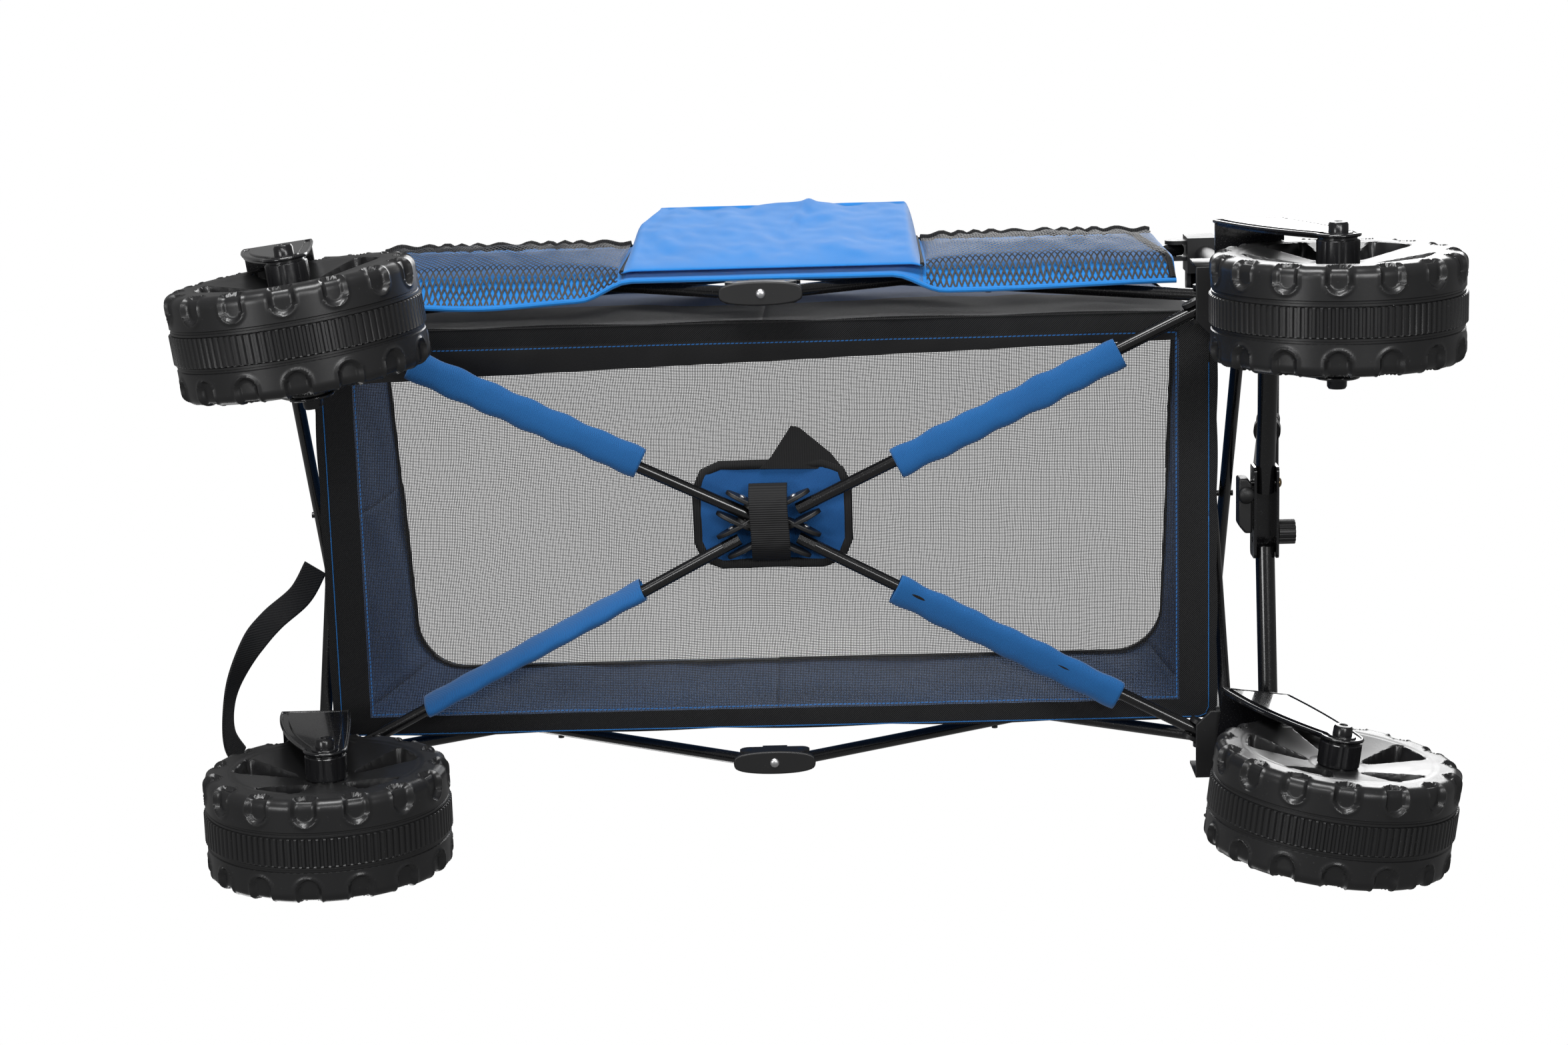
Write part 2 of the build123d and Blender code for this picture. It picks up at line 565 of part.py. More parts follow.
def handle_tube():
    """Lower handle tube on its pivot pin, with a moulded collar at its mouth; upright."""
    pivot = Vector(0, 0, 0)
    top = pivot + UP * HANDLE_L
    reach = HANDLE_R + SLOT_FIT + LUG_T + RIVET_HEAD
    body = tube(pivot, top, HANDLE_R, HANDLE_WALL, TUBE_OVERSHOOT, 0, (0, 1, 0), [], [(0.0, reach, reach)])
    collar = bar_between(top, top + UP * COLLAR_L, HANDLE_R + COLLAR_WALL)
    collar -= bar_between(top - UP, top + UP * (COLLAR_L + 1), HANDLE_INNER_R + PIN_FIT)
    return handle_place() * Compound(children=[*body.solids(), collar.solid()])


def handle_grip():
    """Inner handle tube with its cross grip; upright, in the handle's own frame."""
    mouth = UP * (HANDLE_L + COLLAR_L)
    top = mouth + UP * HANDLE_OUT
    foot = top - UP * HANDLE_INNER_L
    foot.Z = max(foot.Z, 2 * HANDLE_R)
    body = bar_between(foot, top, HANDLE_INNER_R) - bar_between(foot - UP, top + UP, HANDLE_INNER_R - HANDLE_INNER_WALL)
    grip = cross_bar(top + UP * GRIP_R, (0, 1, 0), GRIP_HALF, GRIP_R)
    grip += bar_between(top - UP * GRIP_SOCKET, top + UP * GRIP_R, HANDLE_INNER_R + COLLAR_WALL)
    grip -= bar_between(top - UP * (GRIP_SOCKET + 1), top, HANDLE_INNER_R)
    return handle_place() * Compound(children=[body.solid(), grip.solid()])


# ---- basket -------------------------------------------------------------------------------------
IN_X = POST_X - END_WALL_INSET
IN_Y = POST_Y - SIDE_WALL_INSET
WALL_Z = LOWER_PIVOT_Z + WALL_FOOT


def basket_floor():
    """Floor panel, a shallow tent raised over the hub."""
    def tent(drop):
        edge = Plane(origin=(0, 0, WALL_Z - drop)) * Rectangle(2 * (IN_X - FLOOR_FIT), 2 * (IN_Y - FLOOR_FIT))
        crown = Plane(origin=(0, 0, WALL_Z + FLOOR_DOME - drop)) * Rectangle(*CROWN)
        return loft([edge.face(), crown.face()])
    return tent(CLOTH_T / 2) - tent(1.5 * CLOTH_T)


def side_wall(sy):
    return block((-IN_X, sy * (IN_Y - CLOTH_T), WALL_Z), (IN_X, sy * IN_Y, RIM_Z))


def end_wall(sx):
    half = IN_Y - CLOTH_T - SLOT_FIT
    return block((sx * (IN_X - CLOTH_T), -half, WALL_Z), (sx * IN_X, half, RIM_Z))


def pocket_panel():
    """Outer panel on the right side with its deep middle pocket."""
    near = -(SIDE_Y + FRAME_OUT + PANEL_GAP)
    body = block((-PANEL_HALF_X, near - CLOTH_T, LOWER_PIVOT_Z + PANEL_FOOT), (PANEL_HALF_X, near, RIM_Z))
    low = (POCKET_X[0], near - CLOTH_T - POCKET_DEPTH, LOWER_PIVOT_Z + POCKET_Z[0])
    pocket = block(low, (POCKET_X[1], near - CLOTH_T, LOWER_PIVOT_Z + POCKET_Z[1]))
    return body + fillet(pocket.edges().filter_by(Axis.Z), POCKET_CORNER_R)


def rear_strap():
    """Webbing loop hanging at the rear, from the crossing down towards the left corner."""
    x = -(POST_X + FRAME_OUT + STRAP_W / 2)
    z = LOWER_PIVOT_Z + CELL_RISE / 2
    path = Spline([(x + out, y, z + up) for out, y, up in STRAP_ROUTE])
    section = Plane(origin=path @ 0, z_dir=path % 0, x_dir=(0, 0, 1)) * Rectangle(STRAP_W, STRAP_T)
    return sweep(section, path=path)


# ---- the parts ----------------------------------------------------------------------------------
def all_parts():
    parts = {}
    for name in CORNERS:
        parts[f"{name}_lower_bracket"] = lower_bracket(name)
        parts[f"{name}_post"] = post(name)
        parts[f"{name}_upper_bracket"] = upper_bracket(name)
        parts[f"{name}_floor_tube"] = floor_tube(name)
        parts[f"{name}_fork"] = fork(name)
        parts[f"{name}_axle"] = axle(name)
        parts[f"{name}_wheel"] = wheel(name)
    for side, sy in (("right", -1), ("left", 1)):
        parts.update(side_tubes(side, sy))
        parts[f"{side}_top_knuckle"] = knuckle(sy, upper=True)
        parts[f"{side}_bottom_knuckle"] = knuckle(sy, upper=False)
        parts[f"{side}_front_bar"] = front_bar(sy)
        parts[f"{side}_basket_wall"] = side_wall(sy)
    for end, sx in (("rear", -1), ("front", 1)):
        parts.update(end_tubes(end, sx))
        parts[f"{end}_basket_wall"] = end_wall(sx)
    parts["floor_hub"] = floor_hub()
    parts["bar_channel"] = bar_channel()
    parts["lock_knob"] = lock_knob()
    parts["handle_tube"] = handle_tube()
    parts["handle_grip"] = handle_grip()
    parts["basket_floor"] = basket_floor()
    parts["pocket_panel"] = pocket_panel()
    parts["rear_strap"] = rear_strap()
    return parts


os.makedirs("parts", exist_ok=True)
for node, shape in all_parts().items():
    export_step(shape, f"parts/{node}.step")
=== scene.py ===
"""Looks of a folding beach cart: steel scissor frame, wide plastic wheels, blue fabric basket.

Everything is in metres. X runs to the front, Y to the cart's left and Z up, with the wheels on z = 0.
"""

import bpy
import json
import math
from mathutils import Matrix, Vector, noise


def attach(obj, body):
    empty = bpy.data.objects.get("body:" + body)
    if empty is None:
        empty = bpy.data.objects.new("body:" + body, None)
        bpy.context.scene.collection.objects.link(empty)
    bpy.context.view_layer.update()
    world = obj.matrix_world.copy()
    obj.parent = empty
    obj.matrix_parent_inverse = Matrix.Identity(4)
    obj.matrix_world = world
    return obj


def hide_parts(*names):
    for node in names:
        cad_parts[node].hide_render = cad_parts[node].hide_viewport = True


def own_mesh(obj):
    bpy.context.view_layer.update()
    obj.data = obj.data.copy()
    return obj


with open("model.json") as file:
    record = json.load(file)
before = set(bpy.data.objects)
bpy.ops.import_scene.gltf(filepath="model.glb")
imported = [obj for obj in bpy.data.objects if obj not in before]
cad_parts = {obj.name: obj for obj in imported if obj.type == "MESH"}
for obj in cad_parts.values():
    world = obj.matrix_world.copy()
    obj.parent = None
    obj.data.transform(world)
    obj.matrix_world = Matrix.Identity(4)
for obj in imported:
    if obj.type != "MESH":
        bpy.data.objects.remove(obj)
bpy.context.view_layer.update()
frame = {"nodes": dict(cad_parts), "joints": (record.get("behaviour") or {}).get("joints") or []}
tau = 2 * math.pi
joints = {joint["name"]: joint for joint in frame["joints"]}
X, Y, Z = Vector((1, 0, 0)), Vector((0, 1, 0)), Vector((0, 0, 1))

# ---- camera, daylight studio and floor ----------------------------------------------------------
# The cart is seen from underneath, from a little to its right, through a long lens. The studio is white,
# with large soft boxes below and above; the floor shows only from above, so it hides nothing from below.
CAMERA_PLACE = (0.0811, -0.5934, -2.5208)
CAMERA_PITCH, CAMERA_YAW, CAMERA_ROLL = 0.2066, 0.0229, -0.0244
bpy.ops.object.camera_add()
camera = bpy.context.object
camera.data.lens = 68.3
camera.data.clip_end = 50
turn = Matrix.Rotation(-CAMERA_PITCH, 4, "X") @ Matrix.Rotation(-CAMERA_YAW, 4, "Y")
turn = turn @ Matrix.Rotation(-CAMERA_ROLL, 4, "Z") @ Matrix.Rotation(math.pi, 4, "X")
camera.matrix_world = Matrix.Translation(CAMERA_PLACE) @ turn
bpy.context.scene.camera = camera
bpy.context.scene.view_settings.view_transform = "Standard"

STUDIO_GLOW = 0.20
studio = bpy.data.worlds.new("studio")
bpy.context.scene.world = studio
studio.use_nodes = True
glow = studio.node_tree.nodes["Background"]
path = studio.node_tree.nodes.new("ShaderNodeLightPath")
strength = studio.node_tree.nodes.new("ShaderNodeMapRange")
strength.inputs["To Min"].default_value = STUDIO_GLOW
studio.node_tree.links.new(path.outputs["Is Camera Ray"], strength.inputs["Value"])
studio.node_tree.links.new(strength.outputs["Result"], glow.inputs["Strength"])
glow.inputs["Color"].default_value = (1, 1, 1, 1)

for name, place, width, depth, power in (
    ("key", (-0.3, -2.7, -0.7), 2.0, 0.8, 80),
    ("front_box", (1.5, -0.9, -2.6), 0.7, 1.0, 20),
    ("left_box", (-2.0, -0.4, -2.2), 0.7, 1.0, 20),
    ("strip", (0.2, -1.5, -2.9), 3.0, 0.22, 34),
    ("top_box", (0.6, -0.9, 2.6), 2.0, 1.2, 40),
    ("back_box", (-1.2, 2.2, 1.6), 1.4, 0.9, 12),
):
    bpy.ops.object.light_add(type="AREA", location=place)
    lamp = bpy.context.object
    lamp.name = name
    lamp.data.shape = "RECTANGLE"
    lamp.data.size, lamp.data.size_y, lamp.data.energy = width, depth, power
    lamp.rotation_euler = (Vector((0, 0, 0.3)) - Vector(place)).to_track_quat("-Z", "Y").to_euler()


class Wire:
    """A socket whose sums add Math nodes to its material."""

    def __init__(self, finish, socket):
        self.finish, self.socket = finish, socket

    def sum(self, operation, *others):
        return self.finish.node("ShaderNodeMath", {"operation": operation}, [self, *others])

    def __add__(self, other):
        return self.sum("ADD", other)

    def __sub__(self, other):
        return self.sum("SUBTRACT", other)

    def __rsub__(self, other):
        return self.finish.node("ShaderNodeMath", {"operation": "SUBTRACT"}, [other, self])

    def __mul__(self, other):
        return self.sum("MULTIPLY", other)

    def __truediv__(self, other):
        return self.sum("DIVIDE", other)

    def __mod__(self, other):
        return self.sum("FLOORED_MODULO", other)

    def __gt__(self, other):
        return self.sum("GREATER_THAN", other)

    def __lt__(self, other):
        return self.sum("LESS_THAN", other)

    def __abs__(self):
        return self.sum("ABSOLUTE")

    __radd__, __rmul__ = __add__, __mul__


class Finish:
    """A material under way: node() adds any node, put() sets or links a socket of its shader."""

    def __init__(self, name, **sockets):
        self.material = bpy.data.materials.new(name)
        self.material.use_nodes = True
        self.tree = self.material.node_tree
        self.shader = self.tree.nodes["Principled BSDF"]
        for socket, value in sockets.items():
            self.put(socket.replace("_", " "), value)

    def node(self, kind, settings, values, output=0):
        node = self.tree.nodes.new(kind)
        for key, value in settings.items():
            setattr(node, key, value)
        pairs = values.items() if isinstance(values, dict) else enumerate(values)
        for key, value in pairs:
            if isinstance(value, Wire):
                self.tree.links.new(value.socket, node.inputs[key])
            else:
                node.inputs[key].default_value = value
        return Wire(self, node.outputs[output])

    def put(self, socket, value):
        if isinstance(value, Wire):
            self.tree.links.new(value.socket, self.shader.inputs[socket])
        else:
            self.shader.inputs[socket].default_value = (*value, 1) if isinstance(value, tuple) else value

    def place(self, source="Object"):
        """The three coordinates of a point, on the piece or on its own map."""
        point = self.node("ShaderNodeTexCoord", {}, {}, source)
        return point, [self.node("ShaderNodeSeparateXYZ", {}, [point], axis) for axis in range(3)]

    def speckle(self, size, detail=2.0):
        """Noise from 0 to 1 whose blotches are about size metres across."""
        point = self.place()[0]
        return self.node("ShaderNodeTexNoise", {}, {"Vector": point, "Scale": 1 / size, "Detail": detail})

    def tint(self, share, low, high):
        """One colour where share is 0 and the other where it is 1."""
        return self.node("ShaderNodeMix", {"data_type": "RGBA"}, {0: share, 6: (*low, 1), 7: (*high, 1)}, 2)

    def relief(self, height, distance, strength=1.0):
        """Small bumps of the given depth in metres."""
        inputs = {"Height": height, "Distance": distance, "Strength": strength}
        self.put("Normal", self.node("ShaderNodeBump", {}, inputs))


bpy.ops.mesh.primitive_plane_add(size=30)
ground = bpy.context.object
ground.name = "studio_floor"
ground.visible_shadow = ground.visible_diffuse = ground.visible_glossy = False
pale = Finish("pale_floor", Base_Color=(0.86, 0.86, 0.85), Roughness=0.9)
behind = pale.node("ShaderNodeNewGeometry", {}, {}, "Backfacing")
clear = pale.node("ShaderNodeBsdfTransparent", {}, {})
shade = Wire(pale, pale.shader.outputs[0])
both = pale.node("ShaderNodeMixShader", {}, [behind, shade, clear])
pale.tree.links.new(both.socket, pale.tree.nodes["Material Output"].inputs["Surface"])
ground.data.materials.append(pale.material)

# ---- black steel tubes and posts ----------------------------------------------------------------
# Drawn steel tube with a thick gloss powder coat. The coat has a faint orange peel, dust and a few dull
# rubs. The same coat is on the pressed forks and the channel of the front bar.


def gloss_coat(name, color, rough):
    coat = Finish(name, Specular_IOR_Level=0.5)
    dust = coat.speckle(0.0012, 4)
    rub = coat.speckle(0.03, 3)
    coat.put("Base Color", coat.tint((dust > 0.66) * 0.5, color, tuple(5 * c + 0.02 for c in color)))
    coat.put("Roughness", rough + rub * 0.10 + (dust > 0.62) * 0.15)
    coat.put("Coat Weight", 0.5)
    coat.put("Coat Roughness", 0.05)
    coat.relief(coat.speckle(0.004, 1), 0.00008, 0.5)
    return coat.material


tube_coat = gloss_coat("gloss_black_tube", (0.004, 0.004, 0.0045), 0.16)
steel_coat = gloss_coat("gloss_black_pressing", (0.005, 0.005, 0.006), 0.14)


def moulded(name, color, rough, grain=0.0006, depth=0.00006, scuff=0.45):
    """Moulded plastic: fine grain, pale specks, and scuffed patches that shine a little more."""
    plastic = Finish(name, Specular_IOR_Level=0.5)
    fine = plastic.speckle(grain, 3)
    specks = plastic.speckle(0.0022, 5)
    wear = plastic.speckle(0.018, 4)
    worn = tuple(2.6 * c + 0.012 for c in color)
    plastic.put("Base Color", plastic.tint((specks > 0.70) * 0.75 + wear * scuff * 0.35, color, worn))
    plastic.put("Roughness", rough + fine * 0.10 - wear * 0.12)
    plastic.relief(fine, depth, 0.6)
    return plastic.material


bracket_plastic = moulded("moulded_black_plastic", (0.006, 0.006, 0.0065), 0.46)
zinc = Finish("zinc_bolt", Base_Color=(0.62, 0.62, 0.63), Metallic=1.0)
zinc.put("Roughness", 0.24 + zinc.speckle(0.0008, 3) * 0.25)
for node, piece in frame["nodes"].items():
    if node.endswith(("tube", "post", "front_bar")):
        coat = tube_coat
    elif node.endswith(("upper_bracket", "knuckle", "hub", "knob", "lower_bracket", "grip")):
        coat = bracket_plastic
    else:
        coat = steel_coat
    piece.data.materials.clear()
    piece.data.materials.append(coat)

# ---- wheels -------------------------------------------------------------------------------------
# Each wheel is two blow-moulded half shells in satin black plastic, back to back, with a ribbed tread band
# over the joint. A shell has five deep pockets between broad spokes, and fifteen raised-lipped scallops
# round its shoulder.
WHEEL_R, WHEEL_HALF, TREAD_HALF = 0.112, 0.048, 0.014
HUB_FACE = 0.036             # the spokes' level at the hub, from the wheel's middle
RING_R = 0.084               # where the spokes meet the flat outer ring
SHOULDER = 0.009
SCALLOPS, POCKETS = 15, 5
SHELL_STEPS = 360
wheel_plastic = moulded("wheel_plastic", (0.0100, 0.0100, 0.0105), 0.32, 0.0005, 0.00005, 0.6)


def drawn(name, points):
    """A line of edges through the points, drawn one after another; it is left selected in edit mode."""
    bpy.ops.object.select_all(action="DESELECT")
    bpy.ops.mesh.primitive_plane_add(size=0.001)
    bpy.context.object.name = name
    bpy.ops.object.mode_set(mode="EDIT")
    bpy.ops.mesh.merge(type="CENTER")
    bpy.ops.transform.translate(value=points[0])
    for last, point in zip(points, points[1:]):
        step = Vector(point) - Vector(last)
        bpy.ops.mesh.extrude_vertices_move(TRANSFORM_OT_translate={"value": step})
    bpy.ops.mesh.select_all(action="SELECT")
    return bpy.context.object


def turned(name, profile, steps):
    """A profile of (radius, along Y) points turned about Y."""
    piece = drawn(name, [(r, y, 0) for r, y in profile])
    bpy.ops.mesh.spin(steps=steps, angle=tau, center=(0, 0, 0), axis=(0, 1, 0))
    bpy.ops.mesh.select_all(action="SELECT")
    bpy.ops.mesh.remove_doubles(threshold=0.000005)
    bpy.ops.mesh.normals_make_consistent(inside=False)
    bpy.ops.object.mode_set(mode="OBJECT")
    return piece


def finished(piece, body, material, smooth=40):
    """Fixes a piece's place in its mesh, smooths it, gives it its finish and lets it ride."""
    bpy.ops.object.select_all(action="DESELECT")
    piece.select_set(True)
    bpy.context.view_layer.objects.active = piece
    bpy.ops.object.transform_apply()
    bpy.ops.object.shade_smooth_by_angle(angle=math.radians(smooth))
    piece.data.materials.clear()
    piece.data.materials.append(material)
    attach(piece, body)
    return piece


def copied(piece, name, place):
    """A copy of a piece with its own mesh, carried to a place."""
    copy = bpy.data.objects.new(name, piece.data.copy())
    bpy.context.collection.objects.link(copy)
    copy.data.transform(place)
    return copy


def ease(share):
    share = min(1.0, max(0.0, share))
    return share * share * (3 - 2 * share)


def steps_between(start, end, pitch):
    count = max(1, round((Vector(end) - Vector(start)).length / pitch))
    return [Vector(start).lerp(Vector(end), i / count) for i in range(count)]


FACE_PITCH = 0.0016
corners = [(0.0065, HUB_FACE), (0.022, HUB_FACE), (RING_R, WHEEL_HALF - 0.001), (0.090, WHEEL_HALF)]
face = [p for a, b in zip(corners, corners[1:]) for p in steps_between(a, b, FACE_PITCH)]
shoulder_mid = Vector((WHEEL_R - SHOULDER, WHEEL_HALF - SHOULDER))
face += steps_between(corners[-1], (shoulder_mid.x, WHEEL_HALF), FACE_PITCH)
face += [shoulder_mid + Vector((math.sin(a), math.cos(a))) * SHOULDER for a in (0, 0.26, 0.52, 0.78, 1.04, 1.30)]
face += steps_between((WHEEL_R, WHEEL_HALF - SHOULDER), (WHEEL_R, 0.019), FACE_PITCH)
face += [Vector(p) for p in ((WHEEL_R, 0.019), (WHEEL_R - 0.0012, 0.0182), (WHEEL_R - 0.0012, 0.0165))]
face += [Vector(p) for p in ((WHEEL_R - 0.0004, 0.0160), (WHEEL_R - 0.0004, 0.0140), (WHEEL_R - 0.006, 0.0130))]
shell = turned("wheel_shell", [(p[0], p[1]) for p in face], SHELL_STEPS)


def pocket_depth(radius, angle):
    """How far the point sinks into the nearest pocket between two spokes, from 0 to 1."""
    sector = tau / POCKETS
    angle = (angle + sector / 2) % sector - sector / 2
    out, side = radius * math.cos(angle), abs(radius * math.sin(angle))
    side_line = (side - 0.0045 - 0.36 * (out - 0.026)) * 0.94
    edges = (out - 0.083, 0.027 - out, side_line)
    inside = max(edges)
    if inside > -0.008:          # round corners
        near = [e for e in edges if e > -0.008]
        inside = math.hypot(*[e + 0.008 for e in near]) - 0.008
    return ease(-inside / 0.0045)


def scallop(radius, y, angle):
    """The push outward of a scallop's lip (positive) or inward of its hollow (negative)."""
    sector = tau / SCALLOPS
    angle = (angle + sector / 2) % sector - sector / 2
    across = WHEEL_R * angle
    along = WHEEL_HALF - y if radius > WHEEL_R - SHOULDER else WHEEL_R - SHOULDER - radius
    if radius > WHEEL_R - SHOULDER:
        reach = math.hypot(across, max(0.0, along - 0.0125))
    else:
        reach = math.hypot(across, 0.0) + max(0.0, along - 0.002) * 2.0
    lip = math.exp(-(((reach - 0.0118) / 0.0013) ** 2)) * 0.0011
    hollow = ease((0.0112 - reach) / 0.0030) * 0.0040
    return lip - hollow


for vertex in shell.data.vertices:
    x, y, z = vertex.co
    radius, angle = math.hypot(x, z), math.atan2(z, x)
    if radius < 0.0845:
        vertex.co.y -= 0.024 * pocket_depth(radius, angle)
        rise = math.exp(-((pocket_depth(radius, angle) - 0.08) / 0.09) ** 2) * (radius > 0.026)
        vertex.co.y += 0.0008 * rise
    elif y > 0.019:
        push = scallop(radius, y, angle)
        out = Vector((x / radius, 0, z / radius))
        lean = ease((radius - (WHEEL_R - SHOULDER - 0.002)) / (SHOULDER + 0.001))
        vertex.co += (out * lean + Y * (1 - lean) * 0.8) * push

RIBS = 108
rib_profile = [(0.1105, 0.0136), (0.1128, 0.0134), (0.1138, 0.0126),
               (0.1138, -0.0126), (0.1128, -0.0134), (0.1105, -0.0136)]
tread = turned("wheel_tread", rib_profile, 6 * RIBS)
for vertex in tread.data.vertices:
    angle = math.atan2(vertex.co.z, vertex.co.x)
    beat = math.cos(angle * RIBS)
    drop = 0.0022 * ease(0.5 - 0.9 * beat) * (abs(vertex.co.y) < 0.0128)
    radius = math.hypot(vertex.co.x, vertex.co.z)
    vertex.co.x *= (radius - drop) / radius
    vertex.co.z *= (radius - drop) / radius

CORNERS = {"rear_right": (-1, -1), "rear_left": (-1, 1), "front_right": (1, -1), "front_left": (1, 1)}
WHEEL_PHASE = {"rear_right": 0.20, "rear_left": 0.33, "front_right": 0.05, "front_left": 0.41}


def hub_frame(corner):
    """The wheel's own frame: Y along its axle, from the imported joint."""
    spin = joints[f"{corner}_wheel_spin"]
    axis = Vector(spin["axis"])
    frame_of = Matrix([axis.cross(Z), axis, Z]).transposed().to_4x4()
    return Matrix.Translation(spin["pos_m"]) @ frame_of


for corner in CORNERS:
    hub = hub_frame(corner)
    body = f"{corner}_wheel_body"
    phase = Matrix.Rotation(WHEEL_PHASE[corner], 4, "Y")
    far_side = Matrix.Rotation(math.pi, 4, "Z") @ Matrix.Rotation(tau / SCALLOPS / 2, 4, "Y")
    left_shell = copied(shell, f"{corner}_wheel_left_shell", hub @ phase)
    right_shell = copied(shell, f"{corner}_wheel_right_shell", hub @ phase @ far_side)
    band = copied(tread, f"{corner}_wheel_tread", hub @ phase)
    for piece in (left_shell, right_shell, band):
        finished(piece, body, wheel_plastic, 50)
    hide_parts(f"{corner}_wheel")
bpy.data.objects.remove(shell)
bpy.data.objects.remove(tread)

# ---- forks and axle nuts ------------------------------------------------------------------------
# A fork is pressed from sheet steel: each crescent blade has a raised face inside its edge and a bright
# rolled rim. Both are laid over the CAD blades. The axle wears a black spacer barrel and a domed nut.
BLADE_OUT = 0.0640
BLADE_TOP, BLADE_FOOT, BLADE_EYE = 0.245, 0.114, 0.0185


def arc(start, middle, end, count=12):
    """Points along the circle through three points, without the last."""
    (ax, ay), (bx, by), (cx, cy) = start, middle, end
    a, b, c = ax * ax + ay * ay, bx * bx + by * by, cx * cx + cy * cy
    spread = 2 * (ax * (by - cy) + bx * (cy - ay) + cx * (ay - by))
    ux = (a * (by - cy) + b * (cy - ay) + c * (ay - by)) / spread
    uy = (a * (cx - bx) + b * (ax - cx) + c * (bx - ax)) / spread
    first = math.atan2(ay - uy, ax - ux)
    sweep = (math.atan2(cy - uy, cx - ux) - first) % tau
    if (math.atan2(by - uy, bx - ux) - first) % tau > sweep:
        sweep -= tau
    radius = math.hypot(ax - ux, ay - uy)
    turns = [first + sweep * i / count for i in range(count)]
    return [(ux + radius * math.cos(t), uy + radius * math.sin(t)) for t in turns]


def blade_outline(axle_x):
    """The blade's outline from the axle, as (forward, up) points."""
    lead = -0.030 - 0.9 * axle_x
    tail, middle = lead + 0.064, (BLADE_TOP + BLADE_FOOT) / 2
    eye, foot = BLADE_EYE, BLADE_FOOT
    line = [(lead + 0.064 * i / 8, BLADE_TOP) for i in range(8)]
    line += arc((tail, BLADE_TOP), (tail / 2 + 0.009, middle + 0.012), (eye, foot), 14)
    line += arc((eye, foot), (0, foot - eye), (-eye, foot), 14)
    return line + arc((-eye, foot), (lead / 2 - 0.016, middle - 0.004), (lead, BLADE_TOP), 14)


def inset(line, gap):
    """A closed line moved in by gap; the line runs clockwise as seen from the left side."""
    moved = []
    for before, point, after in zip(line[-1:] + line[:-1], line, line[1:] + line[:1]):
        way = Vector(after) - Vector(before)
        side = Vector((way.y, -way.x)).normalized()
        moved.append(tuple(Vector(point) + side * gap))
    return moved


def piped(name, points, radius, closed=False):
    """A round bar along the points."""
    piece = drawn(name, list(points) + ([points[0]] if closed else []))
    bpy.ops.mesh.remove_doubles(threshold=0.00001)
    bpy.ops.object.mode_set(mode="OBJECT")
    bpy.ops.object.convert(target="CURVE")
    piece = bpy.context.object
    piece.data.bevel_depth, piece.data.bevel_resolution = radius, 2
    piece.data.use_fill_caps = True
    bpy.ops.object.convert(target="MESH")
    return bpy.context.object


def pressed(name, outline, lift, bevel):
    """A flat plate on the outline, lifted by a vector, with rounded upper edges."""
    piece = drawn(name, list(outline) + [outline[0]])
    bpy.ops.mesh.remove_doubles(threshold=0.00001)
    bpy.ops.mesh.select_all(action="SELECT")
    bpy.ops.mesh.edge_face_add()
    bpy.ops.mesh.extrude_region_move(TRANSFORM_OT_translate={"value": lift})
    bpy.ops.mesh.select_all(action="SELECT")
    bpy.ops.mesh.normals_make_consistent(inside=False)
    bpy.ops.object.mode_set(mode="OBJECT")
    if bevel:
        round_over = piece.modifiers.new("rounded", "BEVEL")
        round_over.width, round_over.segments, round_over.limit_method = bevel, 3, "ANGLE"
    return piece


spacer_black = moulded("spacer_black", (0.008, 0.008, 0.009), 0.22, 0.0006, 0.00002, 0.15)
for corner, (sx, sy) in CORNERS.items():
    hub = hub_frame(corner)
    level = hub @ Matrix.Translation((0, 0, -hub.translation.z))
    carrier = f"{corner}_caster" if sx > 0 else f"{corner}_corner"
    outline = blade_outline(0.070 if sx > 0 else 0.037)
    for side, sign in (("left", 1), ("right", -1)):
        face = sign * BLADE_OUT
        rim_line = [(x, face - sign * 0.0005, z) for x, z in inset(outline, -0.0002)]
        rolled = piped(f"{corner}_fork_{side}_rim", rim_line, 0.0018, closed=True)
        raised = [(x, face - sign * 0.0006, z) for x, z in inset(outline, 0.0062)]
        raised = pressed(f"{corner}_fork_{side}_face", raised, (0, sign * 0.0022, 0), 0.0012)
        for piece in (rolled, raised):
            piece.data.transform(level)
            finished(piece, carrier, steel_coat, 50)
        nut = turned(f"{corner}_axle_{side}_cap", [(0.0001, 0.0092), (0.0035, 0.0092), (0.0042, 0.0104), (0.0075, 0.0100),
                     (0.0088, 0.0080), (0.0090, 0.0012), (0.0125, 0.0010), (0.0130, 0.0), (0.0130, -0.001)], 32)
        nut.data.transform(hub @ Matrix.Rotation(0 if sign > 0 else math.pi, 4, "Z") @ Matrix.Translation((0, BLADE_OUT + 0.0006, 0)))
        finished(nut, carrier, spacer_black, 35)
        barrel = turned(f"{corner}_axle_{side}_spacer", [(0.0183, 0.0368), (0.0193, 0.0378), (0.0193, 0.0585),
                                                         (0.0183, 0.0596), (0.0070, 0.0598)], 48)
        for vertex in barrel.data.vertices:
            beat = math.cos(8 * math.atan2(vertex.co.z, vertex.co.x))
            vertex.co.x, vertex.co.z = (c * (1 - 0.05 * ease(beat * 2 - 1)) for c in (vertex.co.x, vertex.co.z))
        barrel.data.transform(hub @ Matrix.Rotation(0 if sign > 0 else math.pi, 4, "Z"))
        finished(barrel, carrier, spacer_black, 35)

# ---- corner bracket shells and knuckle bolts ----------------------------------------------------
# Each lower bracket shows a flat moulded plate with a chamfered inboard corner, and a skirt
# round its outer side. The bottom knuckles carry a rivet and two bolt heads.
SHELL_Z = 0.2470


